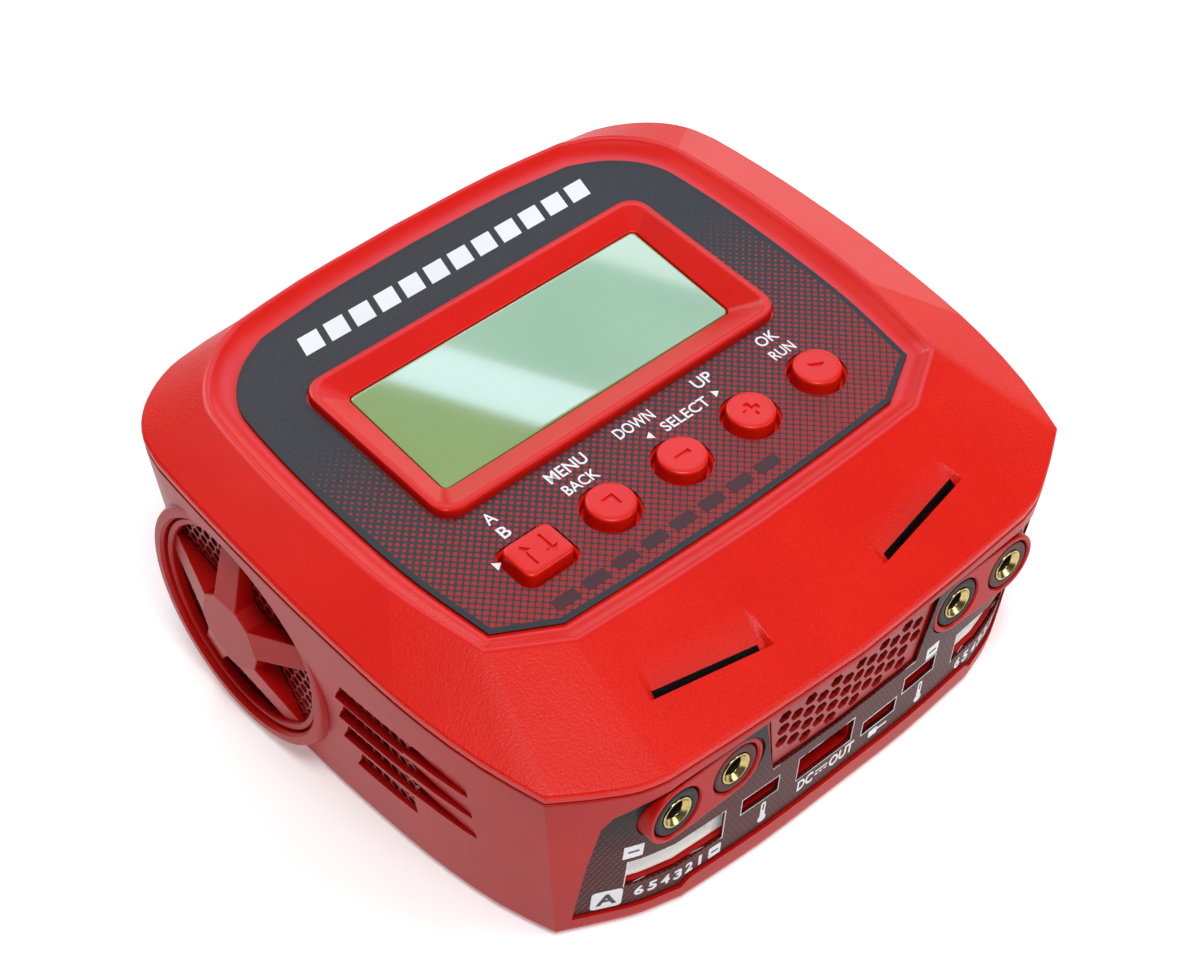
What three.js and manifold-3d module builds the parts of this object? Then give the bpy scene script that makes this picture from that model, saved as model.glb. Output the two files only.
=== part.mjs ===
// Two-channel balance battery charger for model aircraft and cars.
// Millimetres, +Z up. The port side looks to -Y, the user's left (fan side) is -X,
// and the origin is on the table under the middle of the bounding box.
import * as THREE from 'three';
import { mergeVertices } from 'three/addons/utils/BufferGeometryUtils.js';
import Module from 'manifold-3d';

const wasm = await Module();
wasm.setup();

// ---------------------------------------------------------------- dimensions
const FOOT = 1.0;            // how far the rubber feet lift the case off the table
const Y_SHIFT = 6.15;        // moves the modelling datum to the middle of the bounding box
const PANEL_Z = 53.08;       // height of the label plane over the modelling datum
const PANEL_TILT = 0.0708;   // rise of the label plane per mm towards the back
const DISH = 0.65;           // depth of the tray that the label lies in
const LABEL_T = 0.35;
const CREST_UP = 1.7;        // height of the crest around the tray over the label plane
const CREST_OUT = 4.4;       // distance from the label's edge to the crest
const LIP = 2.0;             // height of the upright lip of the cover
const SEAM = 0.3;            // gap between cover and base
const COVER_T = 2.3;         // wall of the cover
const WALL = 2.6;            // wall of the base
const FLOOR = 2.4;
const BTN_Y = -23.8;         // middle line of the button row
const BTN_PITCH = 16.5;
const BTN_X0 = 0.4;          // second round button from the left
const BTN_R = 4.5;
const BTN_UP = 1.7;          // how far a cap stands over the label
const BTN_TRAVEL = 0.8;
const SOCK_Z = 29.6;         // height of the output sockets
const SOCK_X = [40.1, 26.9]; // outer and inner socket of each channel
const SOCK_FACE = -65.8;     // face plane of the socket bosses
const BOSS_R = 6.2;
const FAN_Y = 18.2, FAN_Z = 24.8, FAN_R = 21.8, FAN_FACE = -66.6;
const DOME = 68.4;           // how far the guard's hub stands out from the middle plane
const BALX = [-37.3, 39.2], BAL_Z = 14.2, BAL_W = 18.4, BAL_H = 7.2;

// ------------------------------------------------------------------ materials
const mat = (color, roughness, metalness = 0) =>
  new THREE.MeshStandardMaterial({ color, roughness, metalness });
const RED = mat(0xd02010, 0.42), RED_BASE = mat(0xa83a38, 0.5), RED_DARK = mat(0x8c1410, 0.5);
const BLACK = mat(0x2c2b2e, 0.5), CARBON = mat(0x2b2426, 0.35), INS_BLACK = mat(0x33383a, 0.55);
const INS_RED = mat(0x6a3433, 0.55), BRASS = mat(0xc9a24a, 0.28, 1), STEEL = mat(0xb9bcc0, 0.3, 1);
const NYLON = mat(0xe9e7e2, 0.5), LCD = mat(0xaebc92, 0.2), PCB = mat(0x1f5a36, 0.6);
const RUBBER = mat(0x1b1b1c, 0.9), FANPL = mat(0x191a1c, 0.45), ALU = mat(0xc4c7ca, 0.35, 1);
const TAPE = mat(0xd8b23a, 0.5), CAPB = mat(0x23283a, 0.4);

// -------------------------------------------------------------------- helpers
function toSolid(geometry) {
  const g = geometry.clone();
  g.deleteAttribute('normal');
  g.deleteAttribute('uv');
  const m = mergeVertices(g, 1e-4);
  const vertProperties = new Float32Array(m.attributes.position.array);
  const idx = m.index.array;
  const tri = [];
  for (let i = 0; i < idx.length; i += 3) {
    if (idx[i] !== idx[i + 1] && idx[i + 1] !== idx[i + 2] && idx[i] !== idx[i + 2]) tri.push(idx[i], idx[i + 1], idx[i + 2]);
  }
  return new wasm.Manifold(new wasm.Mesh({ numProp: 3, vertProperties, triVerts: new Uint32Array(tri) }));
}
function toGeometry(solid) {
  const m = solid.getMesh();
  const g = new THREE.BufferGeometry();
  g.setAttribute('position', new THREE.BufferAttribute(new Float32Array(m.vertProperties), 3));
  g.setIndex(new THREE.BufferAttribute(new Uint32Array(m.triVerts), 1));
  g.computeVertexNormals();
  return g;
}
const group = new THREE.Group();
function put(name, solid, material) {
  const g = toGeometry(solid);
  g.translate(0, Y_SHIFT, FOOT);
  const mesh = new THREE.Mesh(g, material);
  mesh.name = name;
  group.add(mesh);
}
const union = (list) => list.reduce((a, b) => a.add(b));
const box = (x0, x1, y0, y1, z0, z1) => {
  const g = new THREE.BoxGeometry(x1 - x0, y1 - y0, z1 - z0);
  g.translate((x0 + x1) / 2, (y0 + y1) / 2, (z0 + z1) / 2);
  return toSolid(g);
};
// cylinder along an axis, from a to b on that axis
function rod(axis, r, a, b, u, v, seg = 18, r2 = r) {
  const g = new THREE.CylinderGeometry(r2, r, b - a, seg);
  g.translate(0, (a + b) / 2, 0);
  if (axis === 'z') { g.rotateX(Math.PI / 2); g.translate(u, v, 0); }
  if (axis === 'y') { g.translate(u, 0, v); }
  if (axis === 'x') { g.rotateZ(-Math.PI / 2); g.translate(0, u, v); }
  return toSolid(g);
}
// flat outline extruded along +Z by depth, then moved by a matrix
function plate(points, depth, matrix, holes = []) {
  const s = new THREE.Shape(points.map(([x, y]) => new THREE.Vector2(x, y)));
  for (const h of holes) s.holes.push(new THREE.Path(h.map(([x, y]) => new THREE.Vector2(x, y))));
  const g = new THREE.ExtrudeGeometry(s, { depth, bevelEnabled: false, curveSegments: 1 });
  if (matrix) g.applyMatrix4(matrix);
  return toSolid(g);
}
const circle = (x, y, r, n = 24, a0 = 0) => Array.from({ length: n }, (_, i) => {
  const a = a0 + (i / n) * Math.PI * 2;
  return [x + r * Math.cos(a), y + r * Math.sin(a)];
});
function roundRect(x0, x1, y0, y1, r, n = 4) {
  const p = [];
  for (const [cx, cy, a0] of [[x1 - r, y1 - r, 0], [x0 + r, y1 - r, 90], [x0 + r, y0 + r, 180], [x1 - r, y0 + r, 270]]) {
    for (let i = 0; i <= n; i++) {
      const a = THREE.MathUtils.degToRad(a0 + (90 * i) / n);
      p.push([cx + r * Math.cos(a), cy + r * Math.sin(a)]);
    }
  }
  return p;
}
function stadium(x0, x1, z, r, n = 8) {
  const p = [];
  for (let i = 0; i <= n; i++) { const a = -Math.PI / 2 + (Math.PI * i) / n; p.push([x1 + r * Math.cos(a), z + r * Math.sin(a)]); }
  for (let i = 0; i <= n; i++) { const a = Math.PI / 2 + (Math.PI * i) / n; p.push([x0 + r * Math.cos(a), z + r * Math.sin(a)]); }
  return p;
}
// closed skin through rings of equal length, bottom ring first, each ring anticlockwise from above
function loft(rings) {
  const n = rings[0].length, pos = [], idx = [];
  for (const r of rings) for (const p of r) pos.push(p[0], p[1], p[2]);
  for (let k = 0; k + 1 < rings.length; k++) for (let i = 0; i < n; i++) {
    const j = (i + 1) % n, a = k * n + i, b = k * n + j, c = a + n, d = b + n;
    idx.push(a, b, d, a, d, c);
  }
  const cap = (r) => THREE.ShapeUtils.triangulateShape(r.map((p) => new THREE.Vector2(p[0], p[1])), []);
  const top = (rings.length - 1) * n;
  for (const t of cap(rings[0])) idx.push(t[0], t[2], t[1]);
  for (const t of cap(rings[rings.length - 1])) idx.push(top + t[0], top + t[1], top + t[2]);
  const g = new THREE.BufferGeometry();
  g.setAttribute('position', new THREE.BufferAttribute(new Float32Array(pos), 3));
  g.setIndex(idx);
  return toSolid(g);
}
// offset of a closed outline along its own normals, inwards for a positive distance
function inset(outline, d) {
  const n = outline.length;
  return outline.map((p, i) => {
    const a = outline[(i + n - 1) % n], b = outline[(i + 1) % n];
    const e1 = new THREE.Vector2(p[0] - a[0], p[1] - a[1]).normalize();
    const e2 = new THREE.Vector2(b[0] - p[0], b[1] - p[1]).normalize();
    const nx = -(e1.y + e2.y), ny = e1.x + e2.x, l = Math.hypot(nx, ny);
    const c = Math.max(0.5, Math.abs((e1.x * ny - e1.y * nx) / l));
    return [p[0] + (nx / l) * (d / c), p[1] + (ny / l) * (d / c)];
  });
}
// the same number of points for every outline, from knots given on the right half
function outlineFrom(half, counts) {
  const r = [];
  for (let s = 0; s < counts.length; s++) {
    const k = half[s];
    const curve = k.length > 2
      ? new THREE.CatmullRomCurve3(k.map(([x, y]) => new THREE.Vector3(x, y, 0)), false, 'centripetal')
      : new THREE.LineCurve3(new THREE.Vector3(k[0][0], k[0][1], 0), new THREE.Vector3(k[1][0], k[1][1], 0));
    for (let i = 0; i < counts[s]; i++) { const p = curve.getPointAt(i / counts[s]); r.push([p.x, p.y]); }
  }
  const lastSeg = half[half.length - 1], e = lastSeg[lastSeg.length - 1];
  const full = [...r, e];
  for (let i = r.length - 1; i > 0; i--) full.push([-r[i][0], r[i][1]]);
  return full;
}
const COUNTS = [3, 3, 6, 6, 2];
// front middle, front, corner facet, side, back corner, back middle
const LIP_LINE = outlineFrom([
  [[0, -68.3], [23.5, -67.35], [42.3, -66.2]],
  [[42.3, -66.2], [47.2, -65.0], [53.4, -61.9], [58.7, -58.7], [60.9, -57.3]],
  [[60.9, -57.3], [64.2, -47.0], [66.9, -32.0], [68.1, -10.0], [68.0, 10.0], [67.3, 26.0], [66.5, 36.0]],
  [[66.5, 36.0], [64.9, 42.2], [61.8, 47.0], [57.0, 51.0], [51.0, 53.8], [43.0, 55.0]],
  [[43.0, 55.0], [24.0, 55.8], [0, 56.0]]], COUNTS);
const LABEL_LINE = outlineFrom([
  [[0, -38.5], [20, -38.1], [38.5, -37.3]],
  [[38.5, -37.3], [49.5, -31.1]],
  [[49.5, -31.1], [51.7, -14.0], [52.2, 4.0], [51.9, 18.0], [51.2, 28.0]],
  [[51.2, 28.0], [50.2, 34.0], [47.2, 39.0], [42.6, 43.0], [36.5, 46.0]],
  [[36.5, 46.0], [22.0, 47.6], [0, 48.2]]], COUNTS);
const CREST_LINE = outlineFrom([
  [[0, -42.9], [21, -42.4], [39.9, -41.6]],
  [[39.9, -41.6], [52.9, -33.6]],
  [[52.9, -33.6], [55.9, -15.0], [56.5, 4.0], [56.2, 18.0], [55.4, 29.0]],
  [[55.4, 29.0], [54.2, 36.2], [50.6, 42.2], [45.0, 47.0], [38.0, 50.2]],
  [[38.0, 50.2], [23.0, 51.9], [0, 52.5]]], COUNTS);
const FOOT_LINE = outlineFrom([
  [[0, -64.5], [18, -64.4], [36.0, -63.1]],
  [[36.0, -63.1], [44.0, -60.7], [50.0, -57.8], [56.8, -54.2]],
  [[56.8, -54.2], [59.9, -44.0], [62.0, -30.0], [63.0, -10.0], [63.0, 10.0], [62.4, 25.0], [61.6, 34.0]],
  [[61.6, 34.0], [60.2, 39.6], [57.4, 43.8], [53.2, 47.6], [47.6, 50.4], [40.0, 51.4]],
  [[40.0, 51.4], [22.0, 52.1], [0, 52.3]]], COUNTS);
// the cover and base part along a gently arched line that falls towards the front
const lipZ = (y) => 43.63 + 0.1722 * (y + 57.19) - 0.000777 * (y + 57.19) ** 2;
const panelZ = (y) => PANEL_Z + PANEL_TILT * y;
const at = (line, z) => line.map(([x, y]) => [x, y, typeof z === 'function' ? z(y, x) : z]);
const panelAngle = Math.atan(PANEL_TILT);
// frame of the tilted panel: x across, y up the slope, z off the surface
const onPanel = (z = 0) => new THREE.Matrix4().makeTranslation(0, 0, PANEL_Z)
  .multiply(new THREE.Matrix4().makeRotationX(panelAngle))
  .multiply(new THREE.Matrix4().makeTranslation(0, 0, z));
const towardsFront = (y) => new THREE.Matrix4().makeTranslation(0, y, 0)
  .multiply(new THREE.Matrix4().makeRotationX(Math.PI / 2));   // outline x,z, extruded towards -Y
const acrossX = (x) => new THREE.Matrix4().makeTranslation(x, 0, 0)
  .multiply(new THREE.Matrix4().makeRotationY(Math.PI / 2))
  .multiply(new THREE.Matrix4().makeRotationZ(Math.PI / 2));   // outline y,z, extruded towards +X

// ------------------------------------------------------------------- top cover
const buttonX = [BTN_X0 - 2 * BTN_PITCH + 0.2, BTN_X0 - BTN_PITCH, BTN_X0, BTN_X0 + BTN_PITCH, BTN_X0 + 2 * BTN_PITCH];
const BTN_NAMES = ['button_channel', 'button_stop', 'button_down', 'button_up', 'button_enter'];
const lcdZ = (y) => 51.45 + 0.13 * y;
const coverOuter = loft([
  at(inset(LIP_LINE, 0.25), (y) => lipZ(y) - LIP),
  at(LIP_LINE, lipZ),
  at(CREST_LINE, (y) => panelZ(y) + CREST_UP),
  at(LABEL_LINE, (y) => panelZ(y) - DISH)]);
const coverInner = loft([
  at(inset(LIP_LINE, COVER_T), (y) => lipZ(y) - LIP - 2),
  at(inset(LIP_LINE, COVER_T), (y) => lipZ(y) - 1.6),
  at(inset(CREST_LINE, 1.2), (y) => panelZ(y) - DISH - 2.2)]);
let cover = coverOuter.subtract(coverInner);
const POSTS = [[-49, -38, 36], [49, -38, 36], [-42.8, 40, 46], [42.8, 40, 46]];
for (const [x, y, z] of POSTS) cover = cover.add(rod('z', 3.4, z + SEAM, panelZ(y) - DISH - 1.0, x, y, 16));
// raised frame round the display, with a sloping reveal down to the glass
cover = cover.add(plate(roundRect(-39.7, 39.7, -8.8, 30.9, 4.2), 3.6, onPanel(-2.1)));
const glassRect = roundRect(-33.9, 33.9, -1.6, 24.7, 0.8, 3);
const crestRect = roundRect(-38.3, 38.3, -7.5, 29.6, 3.6, 3);
cover = cover.subtract(loft([
  at(glassRect, (y) => lcdZ(y) - 8), at(glassRect, lcdZ), at(crestRect, (y) => panelZ(y) + 1.52)]));
// button wells
const WELL = 0.75;
buttonX.forEach((x, i) => {
  const o = i === 0 ? roundRect(x - 5.2 - WELL, x + 5.2 + WELL, BTN_Y - 4 - WELL, BTN_Y + 4 + WELL, 2, 4) : circle(x, BTN_Y, BTN_R + WELL, 20);
  cover = cover.subtract(plate(o, 12, onPanel(-8)));
});
// slanted vent slots in the front slope, each with a scooped recess
const slopeZ = (y) => { const t = (y + 67.6) / (67.6 - 42.4); return lipZ(-67.6) + t * (panelZ(-42.4) + CREST_UP - lipZ(-67.6)); };
for (const s of [1, -1]) {
  const scoop = [[12.4, -51.2], [13.4, -59.9], [36.6, -56.0], [35.2, -48.8]];
  const floorZ = [slopeZ(-51.2) + 0.1, slopeZ(-59.9) - 2.4, slopeZ(-56.0) - 2.4, slopeZ(-48.8) + 0.1];
  let lower = scoop.map(([x, y], i) => [s * x, y, floorZ[i]]);
  let upper = scoop.map(([x, y]) => [s * x, y, 62]);
  let slot = [[14.8, -58.0], [15.1, -59.5], [35.9, -55.9], [35.6, -54.4]].map(([x, y]) => [s * x, y]);
  if (s < 0) { lower = lower.reverse(); upper = upper.reverse(); slot = slot.reverse(); }
  cover = cover.subtract(loft([lower, upper]));
  cover = cover.subtract(plate(slot, 30, new THREE.Matrix4().makeTranslation(0, 0, 36)));
}
put('top_cover', cover, RED);

// ------------------------------------------------------------------- label
{
  const scaled = LABEL_LINE.map(([x, y]) => [x, y]);
  const foot = inset(scaled, 0.3);
  let label = loft([at(foot, (y) => panelZ(y) - LABEL_T), at(foot, (y) => panelZ(y))]);
  label = label.subtract(plate(roundRect(-40.0, 40.0, -9.1, 31.2, 4.5), 6, onPanel(-3)));
  buttonX.forEach((x, i) => {
    const w = WELL + 0.35;
    const o = i === 0 ? roundRect(x - 5.2 - w, x + 5.2 + w, BTN_Y - 4 - w, BTN_Y + 4 + w, 2.3, 4) : circle(x, BTN_Y, BTN_R + w, 20);
    label = label.subtract(plate(o, 6, onPanel(-3)));
  });
  put('top_label', label, BLACK);
}
// ------------------------------------------------------------------- display
{
  const g = inset(glassRect, 0.3);
  put('lcd_window', loft([at(g, (y) => lcdZ(y) - 1.4), at(g, (y) => lcdZ(y) - 0.1)]), LCD);
  const m = roundRect(-37, 37, -6.5, 27.5, 1, 2);
  put('lcd_module', loft([at(m, (y) => lcdZ(y) - 9.5), at(m, (y) => panelZ(y) - 5.2)]), PCB);
}
// ------------------------------------------------------------------- buttons
buttonX.forEach((x, i) => {
  let cap;
  if (i === 0) {
    cap = plate(roundRect(x - 5.2, x + 5.2, BTN_Y - 4, BTN_Y + 4, 1.4, 4), BTN_UP + 3.4, onPanel(-3.4))
      .add(plate(roundRect(x - 6.6, x + 6.6, BTN_Y - 5.4, BTN_Y + 5.4, 2, 3), 0.8, onPanel(-4.0)));
    // two engraved arrows
    for (const [dx, up] of [[-2.1, 1], [2.1, -1]]) {
      const a = [[-0.3, -2.4], [0.3, -2.4], [0.3, 0.9], [1.3, 0.9], [0, 2.5], [-1.3, 0.9], [-0.3, 0.9]].map(([u, v]) => [x + dx + u * up, BTN_Y + v * up]);
      cap = cap.subtract(plate(a, 1, onPanel(BTN_UP - 0.35)));
    }
  } else {
    cap = plate(circle(x, BTN_Y, BTN_R, 20), BTN_UP + 3.4, onPanel(-3.4))
      .add(plate(circle(x, BTN_Y, BTN_R + 1.5, 16), 0.8, onPanel(-4.0)));
    const marks = [null,
      [[[-1.3, -1.3], [1.3, -1.3], [1.3, 1.3], [-1.3, 1.3]]],
      [[[-1.7, -0.5], [1.7, -0.5], [1.7, 0.5], [-1.7, 0.5]]],
      [[[-0.55, -1.7], [0.55, -1.7], [0.55, -0.55], [1.7, -0.55], [1.7, 0.55], [0.55, 0.55], [0.55, 1.7], [-0.55, 1.7], [-0.55, 0.55], [-1.7, 0.55], [-1.7, -0.55], [-0.55, -0.55]]],
      [[[-1.2, -1.6], [1.6, 0], [-1.2, 1.6]]]][i];
    for (const m of marks) cap = cap.subtract(plate(m.map(([u, v]) => [x + u, BTN_Y + v]), 1, onPanel(BTN_UP - 0.35)));
  }
  put(BTN_NAMES[i], cap, RED);
});
// keypad board with its five switches, below the travel of the caps
put('button_board', plate(roundRect(-42, 41.5, -33.5, -12.5, 1.5, 2), 1.6, onPanel(-11.4)), PCB);
buttonX.forEach((x, i) => {
  const sw = plate(roundRect(x - 3, x + 3, BTN_Y - 3, BTN_Y + 3, 0.4, 1), 3.2, onPanel(-9.5))
    .add(plate(circle(x, BTN_Y, 1.7, 12), 1.3, onPanel(-6.4)));
  put('switch_' + (i + 1), sw, BLACK);
});

// ------------------------------------------------------------------- base shell
const TOP_IN = 0.5;
const baseTop = (d) => at(inset(LIP_LINE, TOP_IN + d), (y) => lipZ(y) - LIP - SEAM);
// wall surface at depth d below the outer skin, from the floor level z0 up
const shell = (d, z0, grow = 0) => {
  const foot = inset(FOOT_LINE, d), top = inset(LIP_LINE, TOP_IN + d);
  const mix = (t, line = foot) => line.map(([x, y], i) => [x + (top[i][0] - x) * t, y + (top[i][1] - y) * t]);
  const t0 = z0 / 45;
  return loft([at(mix(t0), z0), at(mix(1 + grow), (y) => lipZ(y) - LIP - SEAM + grow * 45)]);
};
let base = shell(0, 0);
const RING_R = FAN_R + 2.4;
for (const s of [-1, 1]) {
  const a = Math.min(s * 60, s * -FAN_FACE), b = Math.max(s * 60, s * -FAN_FACE);
  base = base.add(rod('x', RING_R, a, b, FAN_Y, FAN_Z, 36));
}
// recessed field of the port panel, with a ledge left along the bottom
const STICKER = [[-54.6, 3.6], [-36.5, 3.6], [-34.5, 5.0], [34.5, 5.0], [36.5, 3.6], [54.6, 3.6],
  [53.6, 20.0], [52.4, 31.2], [50.8, 34.2], [46.8, 36.2], [40.0, 37.2], [22.0, 38.0], [-22.0, 38.0], [-40.0, 37.2], [-46.8, 36.2], [-50.8, 34.2], [-52.4, 31.2], [-53.6, 20.0]];
const PANEL_IN = 1.35;
const recess = plate(STICKER, 30, towardsFront(-45)).subtract(shell(PANEL_IN, -2, 0.2));
base = base.subtract(recess);
// socket bosses
for (const s of [-1, 1]) base = base.add(plate(stadium(Math.min(s * SOCK_X[0], s * SOCK_X[1]), Math.max(s * SOCK_X[0], s * SOCK_X[1]), SOCK_Z, BOSS_R, 8), -SOCK_FACE - 58, towardsFront(-58)));
// hollow inside
base = base.subtract(shell(WALL + PANEL_IN * 0.4, FLOOR, 0.2).subtract(union([-1, 1].map((s) =>
  plate(stadium(Math.min(s * SOCK_X[0], s * SOCK_X[1]), Math.max(s * SOCK_X[0], s * SOCK_X[1]), SOCK_Z, BOSS_R, 8), 9, towardsFront(-57))))));
for (const s of [-1, 1]) for (const x of SOCK_X) base = base.subtract(rod('y', 5.15, -80, -50, s * x, SOCK_Z, 20));
// windows of the port panel
for (const x of BALX) base = base.subtract(box(x - BAL_W / 2, x + BAL_W / 2, -75, -52, BAL_Z - BAL_H / 2, BAL_Z + BAL_H / 2));
const USB = [-4.3, 15.2, 12.8, 5.9], MICRO = [9.6, 12.4, 8.0, 3.2], TEMP = [[-19.8, 15.7], [19.6, 15.9]];
base = base.subtract(box(USB[0] - USB[2] / 2, USB[0] + USB[2] / 2, -75, -52, USB[1] - USB[3] / 2, USB[1] + USB[3] / 2));
base = base.subtract(box(MICRO[0] - MICRO[2] / 2, MICRO[0] + MICRO[2] / 2, -75, -52, MICRO[1] - MICRO[3] / 2, MICRO[1] + MICRO[3] / 2));
for (const [x, z] of TEMP) base = base.subtract(box(x - 3.9, x + 3.9, -75, -52, z - 1.8, z + 1.8));
const MESH_W = [[-17.3, 21.6], [17.3, 21.6], [19.6, 36.2], [-19.6, 36.2]];
base = base.subtract(plate(MESH_W, 30, towardsFront(-50)));
// fan openings and louvre windows in both side walls
const ringBore = (s) => rod('x', FAN_R, s < 0 ? -80 : 50, s < 0 ? -50 : 80, FAN_Y, FAN_Z, 36);
const LOUVRE = [[-33, 13], [-12.6, 13], [-9.4, 18], [-8.2, 24.8], [-9.2, 35.6], [-33, 35.6]];
const SLATS = [30.2, 24.2, 18.2];
for (const s of [-1, 1]) {
  base = base.subtract(ringBore(s));
  base = base.subtract(plate(LOUVRE, 30, acrossX(s < 0 ? -80 : 50)));
  for (const z of SLATS) {
    const q = [[63.2, -36, z - 0.9], [64.4, -36, z - 0.9], [66.2, -6.4, z - 1.2], [62.9, -6.4, z - 1.2]];
    const lower = q.map(([x, y, zz]) => [s * x, y, zz]);
    const upper = q.map(([x, y, zz]) => [s * (x - (x > 64 ? 0.5 : 0)), y, zz + 2.0]);
    base = base.add(loft(s < 0 ? [lower.slice().reverse(), upper.slice().reverse()] : [lower, upper]));
  }
}
// back wall: mains and battery inlets and a row of vents
const AC = [23, 24, 28.4, 21.4], DC = [-8, 24, 17.4, 9.6];
for (const [x, z, w, h] of [AC, DC]) base = base.subtract(box(x - w / 2, x + w / 2, 44, 70, z - h / 2, z + h / 2));
for (let i = 0; i < 4; i++) base = base.subtract(box(-38 + i * 4.6, -35.8 + i * 4.6, 44, 70, 14, 34));
// screw posts, screw holes and foot pockets
for (const [x, y, z] of POSTS) base = base.add(rod('z', 3.4, FLOOR - 0.5, z, x, y, 16));
for (const [x, y, z] of POSTS) base = base.subtract(rod('z', 1.8, -1, z + 1, x, y, 12)).subtract(rod('z', 3.1, -1, 2.3, x, y, 16));
const FEET_AT = [[-40, -50], [40, -50], [-48, 25], [48, 25]];
for (const [x, y] of FEET_AT) base = base.subtract(rod('z', 6.4, -1, 0.8, x, y, 16));
// moulded ribs that carry the circuit board and the fan
for (const [x, y] of [[-33, -46], [40, -46], [-30, 43], [30, 43], [0, -46], [0, 43]]) base = base.add(rod('z', 2.4, FLOOR - 0.5, 5.0, x, y, 12));
// the moulding is cut into the tray, the port wall and the inlet wall, with a fine line between them
put('port_wall', base.intersect(box(-54, 54, -80, -56.4, 3.0, 60)), RED_BASE);
put('inlet_wall', base.intersect(box(-46, 46, 46.6, 80, 3.0, 60)), RED_BASE);
put('base_shell', base.subtract(box(-54.1, 54.1, -80, -56.3, 2.9, 60)).subtract(box(-46.1, 46.1, 46.5, 80, 2.9, 60)), RED_BASE);

// ------------------------------------------------------------------- port panel label
{
  const field = STICKER.map(([x, z]) => [x * 0.994, z + (z > 20 ? -0.3 : 0.3)]);
  let lab = plate(field, 30, towardsFront(-45)).intersect(shell(PANEL_IN - 0.75, -2, 0.2).subtract(shell(PANEL_IN - 0.3, -3, 0.3)));
  for (const s of [-1, 1]) lab = lab.subtract(plate(stadium(Math.min(s * SOCK_X[0], s * SOCK_X[1]), Math.max(s * SOCK_X[0], s * SOCK_X[1]), SOCK_Z, BOSS_R + 0.3, 8), 40, towardsFront(-40)));
  for (const x of BALX) lab = lab.subtract(box(x - BAL_W / 2 - 0.3, x + BAL_W / 2 + 0.3, -75, -40, BAL_Z - BAL_H / 2 - 0.3, BAL_Z + BAL_H / 2 + 0.3));
  lab = lab.subtract(box(USB[0] - USB[2] / 2 - 0.3, USB[0] + USB[2] / 2 + 0.3, -75, -40, USB[1] - USB[3] / 2 - 0.3, USB[1] + USB[3] / 2 + 0.3));
  lab = lab.subtract(box(MICRO[0] - MICRO[2] / 2 - 0.3, MICRO[0] + MICRO[2] / 2 + 0.3, -75, -40, MICRO[1] - MICRO[3] / 2 - 0.3, MICRO[1] + MICRO[3] / 2 + 0.3));
  for (const [x, z] of TEMP) lab = lab.subtract(box(x - 4.2, x + 4.2, -75, -40, z - 2.1, z + 2.1));
  lab = lab.subtract(plate([[-17.6, 21.3], [17.6, 21.3], [21.6, 40], [-21.6, 40]], 40, towardsFront(-40)));
  put('port_label', lab, CARBON);
}
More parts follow.
